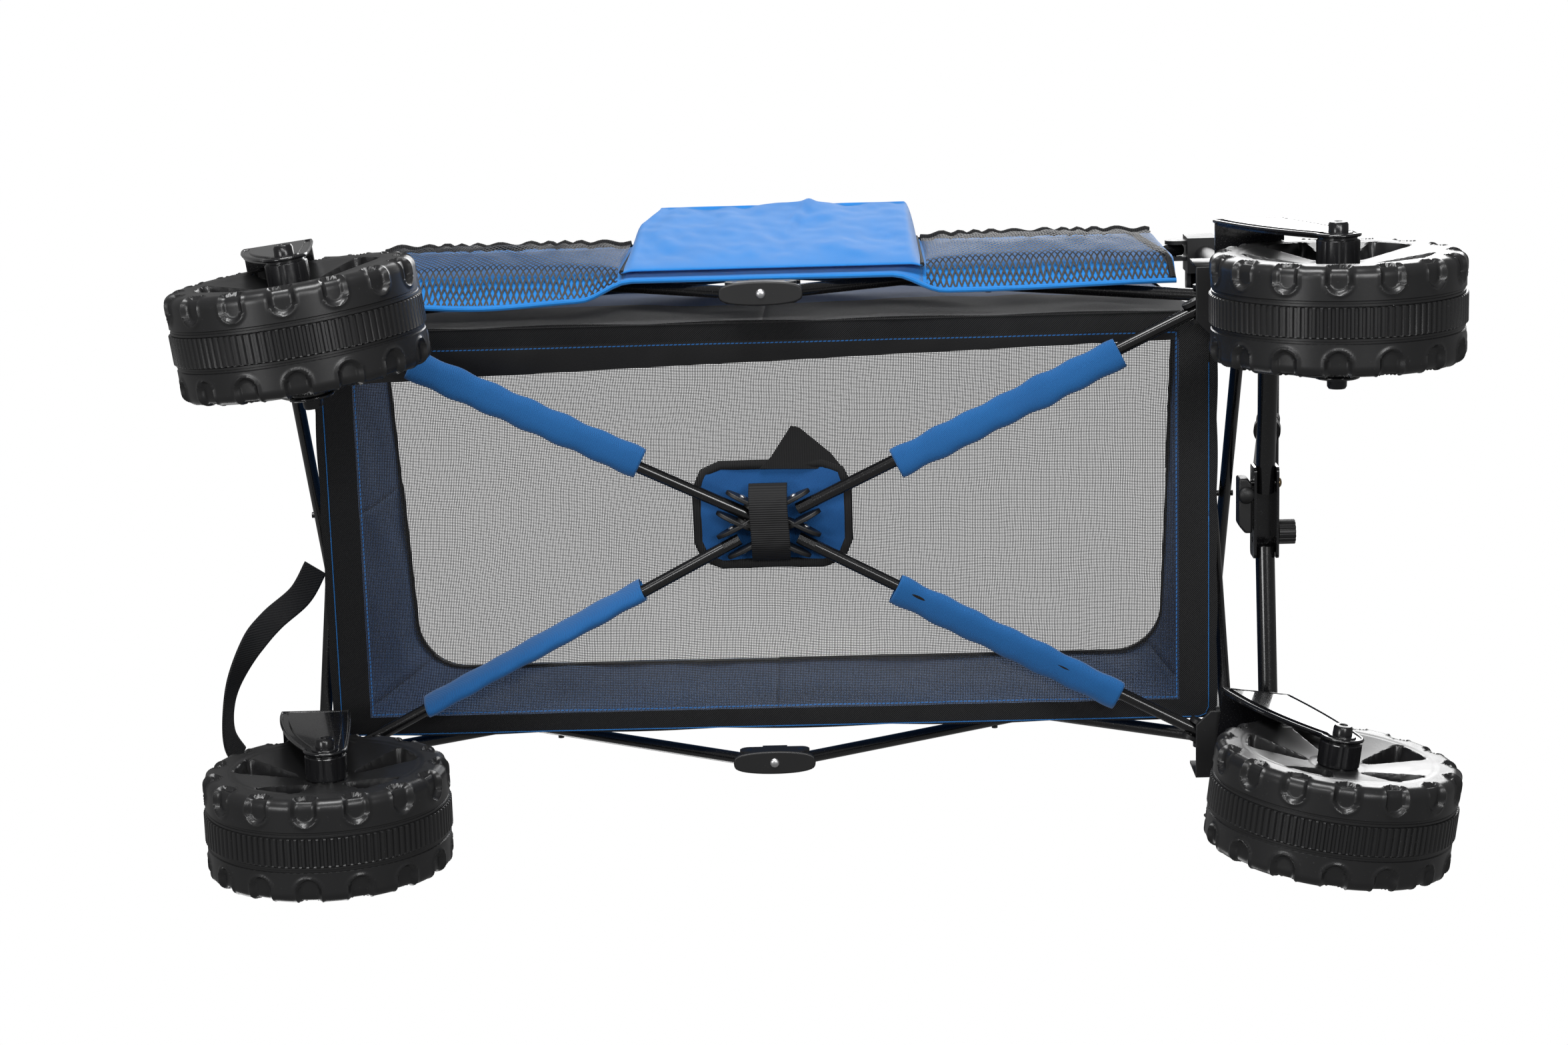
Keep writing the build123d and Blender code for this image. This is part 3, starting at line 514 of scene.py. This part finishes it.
def skirt(name, points, height):
    """A standing wall along the points, 2.5 mm thick."""
    piece = drawn(name, points)
    bpy.ops.mesh.extrude_region_move(TRANSFORM_OT_translate={"value": (0, 0, height)})
    bpy.ops.object.mode_set(mode="OBJECT")
    wall = piece.modifiers.new("wall", "SOLIDIFY")
    wall.thickness, wall.offset = 0.0025, 0
    return piece


def rivet(name, place, way, radius, material=None, body=""):
    """A domed head standing on a place and facing along way."""
    bpy.ops.object.select_all(action="DESELECT")
    bpy.ops.mesh.primitive_uv_sphere_add(segments=20, ring_count=10, radius=radius)
    head = bpy.context.object
    head.name = name
    head.data.transform(Matrix.Diagonal((1, 1, 0.55, 1)))
    head.data.transform(Matrix.Translation(place) @ Vector(way).to_track_quat("Z", "Y").to_matrix().to_4x4())
    return finished(head, body, material or zinc.material)


for corner, (sx, sy) in CORNERS.items():
    px, py = sx * 0.447, sy * 0.226
    plan = [(-0.040, 0.021), (-0.040, -0.030), (-0.026, -0.044), (0.004, -0.044),
            (0.016, -0.030), (0.020, 0.014), (0.013, 0.021)]
    plan = [(px + sx * x, py + sy * y, SHELL_Z) for x, y in plan]
    plate = pressed(f"{corner}_bracket_plate", plan, (0, 0, 0.0030), 0.0010)
    finished(plate, f"{corner}_corner", bracket_plastic, 30)
    wall = [(-0.040, 0.0215), (0.012, 0.0215), (0.0195, 0.014), (0.0195, -0.012 if sx > 0 else -0.030)]
    wall = skirt(f"{corner}_bracket_skirt", [(px + sx * x, py + sy * y, SHELL_Z + 0.001) for x, y in wall], 0.050)
    finished(wall, f"{corner}_corner", bracket_plastic, 30)
for side, sy in (("right", -1), ("left", 1)):
    y = sy * 0.230
    for name, x, radius in (("rear_bolt", -0.034, 0.0040), ("rivet", 0.0, 0.0048), ("front_bolt", 0.034, 0.0040)):
        z = 0.2668 if name == "rivet" else 0.2712
        rivet(f"{side}_knuckle_{name}", (x, y, z), (0, 0, -1), radius, body=f"{side}_bottom_joint")
    cap = [(x, y + v, 0.2665) for x, v in
           [(0.040 * math.cos(tau * i / 40), 0.0115 * math.copysign(abs(math.sin(tau * i / 40)) ** 0.55, math.sin(tau * i / 40))) for i in range(40)]]
    cap = pressed(f"{side}_knuckle_cover", cap, (0, 0, 0.006), 0.0015)
    finished(cap, f"{side}_bottom_joint", bracket_plastic, 30)

# ---- cloths -------------------------------------------------------------------------------------
# Azure oxford polyester, black coated mesh, black diamond netting and black ribbed webbing. Patterns lie
# on the piece's own coordinates, in metres.


def sheet_of(name, across, along, place):
    """A cloth of across by along cells whose points are place(u, v) for u and v from 0 to 1."""
    bpy.ops.object.select_all(action="DESELECT")
    bpy.ops.mesh.primitive_grid_add(x_subdivisions=across, y_subdivisions=along, size=1)
    piece = bpy.context.object
    piece.name = name
    for vertex in piece.data.vertices:
        vertex.co = place(vertex.co.x + 0.5, vertex.co.y + 0.5)
    return piece


def ripple(x, y, z, size, seed=0.0):
    return noise.noise(Vector((x / size + seed, y / size - seed, z / size)))


def oxford(name, color, deep, painted_shade_below=0.0):
    """Plain-weave cloth: crossing yarns, slubs and slow changes of shade. Painted shade: a right wall is painted near
    black below a height.
    """
    cloth = Finish(name, Roughness=0.72, Sheen_Weight=0.25, Specular_IOR_Level=0.3)
    _, (x, y, z) = cloth.place()
    warp = (x + y * 0.35) * (tau / 0.0014)
    weft = (z + y * 0.65) * (tau / 0.0014)
    weave = cloth.node("ShaderNodeMath", {"operation": "SINE"}, [warp]) * cloth.node("ShaderNodeMath", {"operation": "SINE"}, [weft])
    slow = cloth.speckle(0.05, 3)
    slub = cloth.speckle(0.0016, 3)
    shade = cloth.tint(slow * 0.45 + slub * 0.45 + weave * 0.30, deep, color)
    if painted_shade_below:
        # painted shade: on the right side, below the given height, the cloth is painted near black
        painted_shade_mask = (z < painted_shade_below) * (y < -0.15)
        shade = cloth.node("ShaderNodeMix", {"data_type": "RGBA"},
                           {0: painted_shade_mask, 6: shade, 7: (0.006, 0.006, 0.007, 1)}, 2)
    cloth.put("Base Color", shade)
    cloth.relief(weave * 0.5 + slub * 0.5, 0.00035, 0.8)
    return cloth.material


blue_cloth = oxford("azure_oxford", (0.008, 0.235, 0.680), (0.004, 0.160, 0.500))
sleeve_cloth = oxford("sleeve_oxford", (0.003, 0.120, 0.360), (0.002, 0.070, 0.230))


def webbing_cloth(name, across):
    """Black ribbed tape; across is the coordinate that the ribs step along."""
    tape = Finish(name, Specular_IOR_Level=0.35)
    _, axes = tape.place()
    rib = tape.node("ShaderNodeMath", {"operation": "SINE"}, [axes["xyz".index(across)] * (tau / 0.0022)])
    fuzz = tape.speckle(0.0009, 3)
    tape.put("Base Color", tape.tint(fuzz * 0.6 + rib * 0.25, (0.004, 0.004, 0.0045), (0.018, 0.018, 0.019)))
    tape.put("Roughness", 0.62 + fuzz * 0.2)
    tape.relief(rib * 0.6 + fuzz * 0.4, 0.0004, 0.9)
    return tape.material


tape_x, tape_y, tape_z = (webbing_cloth(f"ribbed_webbing_{axis}", axis) for axis in "xyz")

# ---- mesh floor ---------------------------------------------------------------------------------
# Coated mesh with a square open grid, tented over the hub. Its hem is bound in grosgrain with a row of
# blue stitches inside it. Along the right side a strip of the mesh is painted solid and dark: painted
# shade. It is in four quarters so that each follows its floor tube when the cart folds.
FLOOR_X, FLOOR_Y, FLOOR_EDGE_Z = 0.432, 0.2000, 0.2915
MESH_PITCH = 0.00155
mesh_cloth = Finish("coated_mesh", Roughness=0.50, Specular_IOR_Level=0.3)
_, (x, y, z) = mesh_cloth.place()
slack_x = x + mesh_cloth.speckle(0.06, 1) * 0.004
slack_y = y + mesh_cloth.speckle(0.08, 1) * 0.004
strand_x = (slack_x / MESH_PITCH) % 1 < 0.40
strand_y = (slack_y / MESH_PITCH) % 1 < 0.40
edge = mesh_cloth.node("ShaderNodeMath", {"operation": "MINIMUM"}, [FLOOR_X - 0.018 - abs(x), FLOOR_Y - abs(y)])
hem = edge < 0.0180
# painted shade: the mesh is made solid and dark in a strip along the right side
strip = y < (x * -0.030 - 0.1610)
cover = mesh_cloth.node("ShaderNodeMath", {"operation": "ADD", "use_clamp": True}, [strand_x + strand_y, hem + strip])
thread = (abs(edge - 0.0205) < 0.00055) * (((x + y) / 0.0042) % 1 < 0.7)
mesh_cloth.put("Alpha", mesh_cloth.node("ShaderNodeMath", {"operation": "ADD", "use_clamp": True}, [cover, thread]))
fine = mesh_cloth.speckle(0.0008, 2)
base = mesh_cloth.tint(fine, (0.005, 0.005, 0.0055), (0.014, 0.014, 0.015))
blue_thread = mesh_cloth.node("ShaderNodeMix", {"data_type": "RGBA"}, {0: thread, 6: base, 7: (0.02, 0.12, 0.35, 1)}, 2)
mesh_cloth.put("Base Color", blue_thread)
grosgrain = mesh_cloth.node("ShaderNodeMath", {"operation": "SINE"}, [(x + y) * (tau / 0.0021)])
mesh_cloth.relief(grosgrain * hem + fine * 0.3, 0.0005, 0.8)


def floor_height(x, y):
    reach = max((abs(x) - 0.060) / 0.367, (abs(y) - 0.045) / 0.157)
    slack = 0.0022 * ripple(x, y, 0, 0.11) + 0.0014 * ripple(x * 2.2, y, 0, 0.05, 3)
    return FLOOR_EDGE_Z + 0.042 * (1 - ease(0.12 + 0.88 * min(1, max(0, reach)))) + slack * min(1, (1 - reach) * 6)


for corner, (sx, sy) in CORNERS.items():
    def floor_point(u, v, sx=sx, sy=sy):
        x, y = sx * FLOOR_X * u, sy * FLOOR_Y * v
        sag = 0.0020 * math.sin(x * 19 + sy) * ease(v * 4 - 3) + 0.0012 * math.sin(y * 43 + sx) * ease(u * 6 - 5)
        return (x + sx * abs(sag) * ease(u * 6 - 5), y + sy * abs(sag) * ease(v * 4 - 3), floor_height(x, y))

    quarter = sheet_of(f"{corner}_floor_quarter", 72, 36, floor_point)
    finished(quarter, f"{corner}_floor_arm", mesh_cloth.material)
    way = Vector((sx * 0.409, sy * 0.2045, 0)).normalized()
    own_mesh(quarter)
    if corner == "rear_right":
        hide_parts("basket_floor")

# ---- floor sleeves, hub cover and pull strap ----------------------------------------------------
# Blue fabric sleeves hold the floor to its tubes. Over the hub there is a blue patch with a black binding,
# a folded webbing triangle behind it and a wide webbing strap to pull the floor up by.
TUBE_RISE = math.tan(math.radians(6))
SLEEVE_ROLL = {"rear_right": 0.10, "rear_left": 1.15, "front_right": -0.25, "front_left": 0.15}
for corner, (sx, sy) in CORNERS.items():
    out = Vector((sx * 0.409, sy * 0.2045, 0)).normalized()
    side = Z.cross(out)
    roll = SLEEVE_ROLL[corner]

    def sleeve_point(u, v, out=out, side=side, roll=roll):
        reach = 0.138 + 0.238 * v
        middle = out * reach + Z * (0.3067 - (reach - 0.022) * TUBE_RISE)
        turn = tau * u
        wide = 0.0150 + 0.0012 * ripple(reach, roll, 0, 0.035) + 0.0007 * math.sin(v * 41)
        tall = 0.0070 + 0.0014 * ripple(reach, 1, roll, 0.03)
        flat_side = math.copysign(abs(math.cos(turn)) ** 0.8, math.cos(turn)) * wide
        rise = math.copysign(abs(math.sin(turn)) ** 0.9, math.sin(turn)) * tall
        flat_side += 0.0035
        return tuple(middle + side * (flat_side * math.cos(roll) - rise * math.sin(roll))
                     + Z * (flat_side * math.sin(roll) + rise * math.cos(roll)))

    sleeve = sheet_of(f"{corner}_sleeve", 48, 90, sleeve_point)
    bpy.ops.object.mode_set(mode="EDIT")
    bpy.ops.mesh.select_all(action="SELECT")
    bpy.ops.mesh.remove_doubles(threshold=0.00002)
    bpy.ops.object.mode_set(mode="OBJECT")
    thick = sleeve.modifiers.new("cloth", "SOLIDIFY")
    thick.thickness = 0.0007
    finished(sleeve, f"{corner}_floor_arm", sleeve_cloth)
    low = out * 0.052 + Z * (0.3067 - 0.030 * TUBE_RISE)
    stub = piped(f"{corner}_tube_end", [tuple(out * 0.032 + Z * (0.3067 - 0.010 * TUBE_RISE)), tuple(low)], 0.0058)
    finished(stub, f"{corner}_floor_arm", tube_coat)
    for way, name in ((1, "left"), (-1, "right")):
        cheek_mid = out * 0.028 + side * (way * 0.0092) + Z * 0.3062
        cheek = [cheek_mid + out * (0.021 * math.cos(t) + 0.002) + Z * (0.0098 * math.sin(t))
                 for t in [tau * i / 24 for i in range(24)]]
        cheek = pressed(f"{corner}_hub_{name}_cheek", [tuple(p) for p in cheek], tuple(side * way * 0.0042), 0.0010)
        finished(cheek, "hub", bracket_plastic, 40)
        rivet(f"{corner}_hub_{name}_rivet", tuple(out * 0.034 + side * (way * 0.0136) + Z * 0.3064),
              tuple(side * way), 0.0034, body="hub")


def patch_point(u, v):
    x, y = 0.004 + (u - 0.5) * 0.146, -0.007 + (v - 0.5) * 0.098
    corner_in = max(0.0, abs(u - 0.5) * 0.146 - 0.050) * max(0.0, abs(v - 0.5) * 0.098 - 0.026) * 13
    x -= math.copysign(corner_in, u - 0.5)
    y -= math.copysign(corner_in, v - 0.5)
    return (x, y, 0.3208 + 0.0016 * ripple(x, y, 0, 0.03) + 0.002 * math.cos(x * 40))


patch_cloth = oxford("patch_oxford", (0.004, 0.105, 0.330), (0.002, 0.055, 0.200))
patch = sheet_of("hub_patch", 60, 40, patch_point)
thick = patch.modifiers.new("cloth", "SOLIDIFY")
thick.thickness = 0.0012
finished(patch, "hub", patch_cloth)
around = ([(0, i / 30) for i in range(30)] + [(i / 40, 1) for i in range(40)]
          + [(1, 1 - i / 30) for i in range(30)] + [(1 - i / 40, 0) for i in range(40)])
binding = piped("hub_patch_binding", [patch_point(u, v) for u, v in around], 0.0048, closed=True)
for vertex in binding.data.vertices:
    vertex.co.z = 0.3200 + (vertex.co.z - 0.3200) * 0.5
finished(binding, "hub", tape_x)


def strap_point(u, v):
    across, along = (u - 0.5) * 0.0375, (v - 0.5) * 0.074
    drop = 0.0215 * (1 - (abs(along) / 0.039) ** 4) if abs(along) < 0.039 else 0
    return (0.001 + across + 0.001 * math.sin(along * 60), -0.001 + along, 0.3165 - drop + 0.0006 * ripple(across, along, 0, 0.012))


strap = sheet_of("hub_pull_strap", 24, 48, strap_point)
thick = strap.modifiers.new("webbing", "SOLIDIFY")
thick.thickness = 0.0016
finished(strap, "hub", tape_y)
flap = [(-0.008, -0.052, 0.3185), (0.074, -0.050, 0.3185), (0.062, -0.066, 0.3185),
        (0.032, -0.092, 0.3180), (0.024, -0.094, 0.3180), (0.004, -0.064, 0.3185)]
finished(pressed("hub_strap_fold", flap, (0, 0, 0.0018), 0.0004), "hub", tape_x)

# ---- basket walls -------------------------------------------------------------------------------
# Blue oxford walls hang from the upper frame. Each is in two halves, and each half rides the slider at
# its corner. A ribbed black binding folds over the rim.
WALL_TOP, WALL_FOOT = 0.5580, 0.2910
# The right wall's cloth is painted near black below 0.43 m, as painted shade.
wall_cloth = oxford("wall_oxford", (0.005, 0.150, 0.450), (0.002, 0.080, 0.270), 0.430)
for corner, (sx, sy) in CORNERS.items():
    for run, name, flat_length in (("side", "side", 0.425), ("end", "end", 0.199)):
        def wall_point(u, v, run=run, sx=sx, sy=sy, out=0.0):
            """A point of the wall; out moves it off the cloth, and the corner grows rounder upwards."""
            z = WALL_FOOT + (WALL_TOP - WALL_FOOT) * v
            radius = 0.010 + 0.040 * ease(v * 1.3)
            free = ease(v * 5) * ease((1 - v) * 9) * ease((1 - u) * 9)
            half, wall_at = (0.4255, 0.1995) if run == "side" else (0.1995, 0.4245)
            along = (half - 0.293 * radius) * u
            past = max(0.0, along - (half - radius))
            away = wall_at - radius + math.sqrt(radius * radius - past * past)
            place = (sx * along, sy, z) if run == "side" else (sx, sy * along, z)
            away += (0.0030 * ripple(*place, 0.09) + 0.0016 * ripple(*place, 0.05, 5)) * free
            slant = past / radius
            along, away = along + out * slant, away + out * math.sqrt(1 - slant * slant)
            x, y = (along, sy * away) if run == "side" else (away, sy * along)
            lean = 0.020 + 0.055 * (y + 0.2) if sx < 0 else 0.002 + 0.045 * (y + 0.2)
            return (sx * (x - lean * ease(v) * ease((x - 0.2) / 0.2)), y, z)

        wall = sheet_of(f"{corner}_{name}_wall", 60 if run == "side" else 30, 40, wall_point)
        thick = wall.modifiers.new("cloth", "SOLIDIFY")
        thick.thickness, thick.offset = 0.0009, 0
        finished(wall, f"{corner}_slider", wall_cloth)
        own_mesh(wall)

        def rim_point(u, v, wall_point=wall_point):
            turn = math.pi * v
            drop = 0.018 * (abs(v - 0.5) * 2) ** 0.6
            x, y, z = wall_point(u, 1, out=0.0030 * math.cos(turn))
            return (x, y, z + 0.0008 + 0.0020 * math.sin(turn) - drop)

        rim = sheet_of(f"{corner}_{name}_rim", 40, 14, rim_point)
        thick = rim.modifiers.new("webbing", "SOLIDIFY")
        thick.thickness = 0.0012
        finished(rim, f"{corner}_slider", tape_x if run == "side" else tape_y)
        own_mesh(rim)
    if sx < 0:
        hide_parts("left_basket_wall" if sy > 0 else "right_basket_wall")
    if sy > 0:
        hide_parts("front_basket_wall" if sx > 0 else "rear_basket_wall")

# ---- outer pocket panel -------------------------------------------------------------------------
# On the right side hangs an outer panel. Its middle has an insulated blue pocket that leans out towards
# the top; either side of it a slack diamond net is gathered on an elastic. The panel is piped in blue
# along its foot, bound in black along its rim, and rides the frame in three lengths.
PANEL_Y, PANEL_TOP = -0.2450, 0.5585
POCKET_REAR, POCKET_FRONT = -0.134, 0.154
SPANS = (("rear", -0.395, POCKET_REAR), ("middle", POCKET_REAR, POCKET_FRONT), ("front", POCKET_FRONT, 0.395))
CARRIERS = {"rear": "rear_right_slider", "middle": "right_top_joint", "front": "front_right_slider"}


def crumpled(piece):
    """Gives a length of the panel its own mesh."""
    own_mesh(piece)


def panel_foot(x):
    """The wavy foot of the panel, as (y, z)."""
    tuck = ease((abs(x) - 0.125) / 0.05)
    sag = 0.010 * math.exp(-((x + 0.27) / 0.06) ** 2)
    drawn_in = 0.0165 + 0.006 * math.exp(-((x + 0.27) / 0.08) ** 2) - 0.004 * ease((x - 0.2) / 0.2)
    return -0.2395 + tuck * drawn_in, 0.3030 - sag * 0.5


def panel_point(x, v):
    foot_y, foot_z = panel_foot(x)
    z = foot_z + (PANEL_TOP - foot_z) * v
    tuck = math.exp(-(((z - foot_z) / 0.016) ** 2))
    sway = 0.0025 * ripple(x, 0, z, 0.07, 9) * ease(v * 6) * ease((1 - v) * 8)
    return (x, PANEL_Y + (foot_y - PANEL_Y) * tuck - 0.001 - abs(sway), z)


for span, start, end in SPANS:
    def back_point(u, v, start=start, end=end):
        return panel_point(start + (end - start) * u, v)

    back = sheet_of(f"panel_{span}", 60, 50, back_point)
    thick = back.modifiers.new("cloth", "SOLIDIFY")
    thick.thickness, thick.offset = 0.0009, 0
    finished(back, CARRIERS[span], blue_cloth)
    crumpled(back)
    if span == "middle":
        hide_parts("pocket_panel")
    line = [Vector(panel_point(start + (end - start) * i / 30, 0)) + Vector((0, 0, -0.001)) for i in range(31)]
    piping = piped(f"panel_{span}_piping", [tuple(p) for p in line], 0.0024)
    finished(piping, CARRIERS[span], blue_cloth)
    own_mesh(piping)

    def band_point(u, v, start=start, end=end):
        turn = math.pi * v
        x = start + (end - start) * u
        drop = 0.020 * (abs(v - 0.5) * 2) ** 0.6
        return (x, PANEL_Y - 0.0005 - 0.0032 * math.cos(turn),
                PANEL_TOP + 0.0012 - drop + 0.0012 * math.sin(turn) + 0.001 * math.sin(x * 37))

    band = sheet_of(f"panel_{span}_rim", 50, 14, band_point)
    thick = band.modifiers.new("webbing", "SOLIDIFY")
    thick.thickness = 0.0012
    finished(band, CARRIERS[span], tape_x)
    crumpled(band)


def pocket_point(u, v):
    """The pocket's face up to v = 0.8, then its lid back to the panel."""
    x = POCKET_REAR + (POCKET_FRONT - POCKET_REAR) * u
    edge = min(u, 1 - u) * (POCKET_FRONT - POCKET_REAR)
    side = ease(edge / 0.012) ** 0.5
    if v <= 0.8:
        rise = v / 0.8
        z = 0.3100 + 0.2330 * rise
        depth = 0.002 + 0.036 * rise ** 0.75
        fold = 0.0050 * ripple(x * 1.3, 0, z * 0.6, 0.06, 2) + 0.0022 * ripple(x * 1.5 + z, 4, z - x, 0.035, 7)
        fold += 0.0035 * math.exp(-((x - 0.02 - (rise - 0.5) * 0.05) / 0.006) ** 2) * ease(rise * 1.6 - 0.4)
        depth += fold * ease(rise * 5) * ease(edge / 0.02)
    else:
        back = (v - 0.8) / 0.2
        z = 0.3100 + 0.2330 + 0.0035 * math.sin(math.pi * back) + 0.004 * back
        depth = 0.038 * (1 - back)
    cut = 0.020 * ease((v - 0.55) / 0.25) if v <= 0.8 else 0.020
    if u < 0.5:
        x += cut * max(0.0, 1 - u * 6)
    return (x, PANEL_Y - 0.0022 - depth * side, z)


pocket = sheet_of("insulated_pocket", 150, 120, pocket_point)
thick = pocket.modifiers.new("cloth", "SOLIDIFY")
thick.thickness, thick.offset = 0.0012, 0
finished(pocket, "right_top_joint", blue_cloth, 60)
crumpled(pocket)
for name, at in (("rear", 0.0), ("front", 1.0)):
    seam = [tuple(Vector(pocket_point(at, 0.8 * i / 30)) + Vector((0, -0.0012, 0))) for i in range(31)]
    seam = piped(f"pocket_{name}_seam", seam, 0.0022)
    finished(seam, "right_top_joint", tape_z)
    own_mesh(seam)

NET_CELL = 0.0058
net_cloth = Finish("diamond_net", Base_Color=(0.008, 0.008, 0.009), Roughness=0.6)
_, (x, y, z) = net_cloth.place()
warp = net_cloth.speckle(0.03, 1) * 0.006
cell_a = abs(((x + z * 0.62 + warp) / NET_CELL) % 1 - 0.5) < 0.15
cell_b = abs(((x - z * 0.62 - warp) / NET_CELL) % 1 - 0.5) < 0.15
net_cloth.put("Alpha", net_cloth.node("ShaderNodeMath", {"operation": "MAXIMUM"}, [cell_a, cell_b]))
for span, start, end in (SPANS[0], SPANS[2]):
    def net_point(u, v, start=start, end=end, span=span):
        x = start + 0.004 + (end - start - 0.008) * u
        foot_y, foot_z = panel_foot(x)
        across = math.sin(math.pi * u) ** 0.5
        z = foot_z + 0.004 + (0.216 - 0.014 * math.sin(math.pi * u) + 0.005 * ripple(x, 7, 0, 0.04)) * v
        tuck = math.exp(-(((z - foot_z) / 0.016) ** 2))
        belly = math.sin(math.pi * min(1.0, v * 0.93)) ** 0.8
        slack = 0.0035 + 0.0120 * across * belly + 0.0030 * ripple(x * 2.2, 0, z, 0.05, 4) * across * belly
        gather = 0.0016 * math.sin(x * 300 + 2 * math.sin(x * 60)) * ease(v * 3 - 2)
        return (x, PANEL_Y + (foot_y - PANEL_Y) * tuck - 0.0020 - slack * ease(v * 8 + 0.1) - gather, z)

    net = sheet_of(f"net_pocket_{span}", 110, 60, net_point)
    finished(net, CARRIERS[span], net_cloth.material)
    crumpled(net)
    hem_line = [tuple(Vector(net_point(i / 60, 1)) + Vector((0, 0, 0.001))) for i in range(61)]
    elastic = piped(f"net_elastic_{span}", hem_line, 0.0034)
    finished(elastic, CARRIERS[span], tape_x)
    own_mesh(elastic)
zip_line = [tuple(Vector(panel_point(0.372 + 0.020 * i / 12, 1 - i / 12)) + Vector((0, -0.002, 0))) for i in range(13)]
zip_band = piped("panel_front_zip", zip_line, 0.0030)
finished(zip_band, CARRIERS["front"], tape_z)
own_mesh(zip_band)

# ---- rear strap ---------------------------------------------------------------------------------
# A black webbing loop hangs at the rear, from the crossing of the tubes round to the left corner, with
# one twist on its way.
STRAP_X = -(0.447 + 0.0173 + 0.017)
route = [(0.016, 0.030, 0.432), (0.004, 0.052, 0.405), (-0.020, 0.070, 0.375), (-0.036, 0.088, 0.345), (-0.052, 0.120, 0.329), (-0.060, 0.152, 0.328),
         (-0.064, 0.185, 0.345), (-0.060, 0.212, 0.373)]


def route_at(share):
    """A point on a smooth line through the strap's route."""
    place = share * (len(route) - 1)
    i = min(int(place), len(route) - 2)
    t = place - i
    p = [Vector(route[max(0, min(len(route) - 1, i + k))]) for k in (-1, 0, 1, 2)]
    return 0.5 * (2 * p[1] + (p[2] - p[0]) * t + (2 * p[0] - 5 * p[1] + 4 * p[2] - p[3]) * t * t
                  + (3 * p[1] - p[0] - 3 * p[2] + p[3]) * t ** 3)


def loop_point(u, v):
    middle = route_at(v) + Vector((STRAP_X, 0.028, -0.012))
    way = (route_at(min(1, v + 0.01)) - route_at(max(0, v - 0.01))).normalized()
    side = way.cross(X).normalized()
    flat = way.cross(side)
    turn = 0.55 + 0.75 * ease((v - 0.2) / 0.5)
    lean = side * math.sin(turn) + flat * math.cos(turn)
    return tuple(middle + lean * ((u - 0.5) * 0.0250))


loop = sheet_of("rear_webbing_loop", 12, 120, loop_point)
thick = loop.modifiers.new("webbing", "SOLIDIFY")
thick.thickness, thick.offset = 0.0016, 0
finished(loop, "rear_left_corner", tape_y)
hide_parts("rear_strap")

# ---- front bar fittings -------------------------------------------------------------------------
# Behind the channel a moulded block with a ring boss guides the folding bar, and a bronze pin locks it.
block_plan = [(0.4535, -0.034, 0), (0.4535, 0.012, 0), (0.4600, 0.020, 0),
              (0.4670, 0.020, 0), (0.4670, -0.028, 0), (0.4620, -0.034, 0)]
bronze = Finish("bronze_pin", Base_Color=(0.30, 0.22, 0.12), Metallic=1.0, Roughness=0.3)
guide = pressed("bar_guide_block", [(0.0008 + x, y, 0.3000) for x, y, _ in block_plan], (0, 0, 0.022), 0.0020)
finished(guide, "channel", bracket_plastic, 30)
rivet("bar_guide_boss", (0.4620, -0.018, 0.2995), (0, 0, -1), 0.0085, bracket_plastic, "channel")
for name, y in (("right", -0.028), ("left", 0.028)):
    rivet(f"channel_{name}_bolt", (0.4935 + 0.0008, y, 0.3096), (1, 0, 0), 0.0050, bronze.material, "channel")
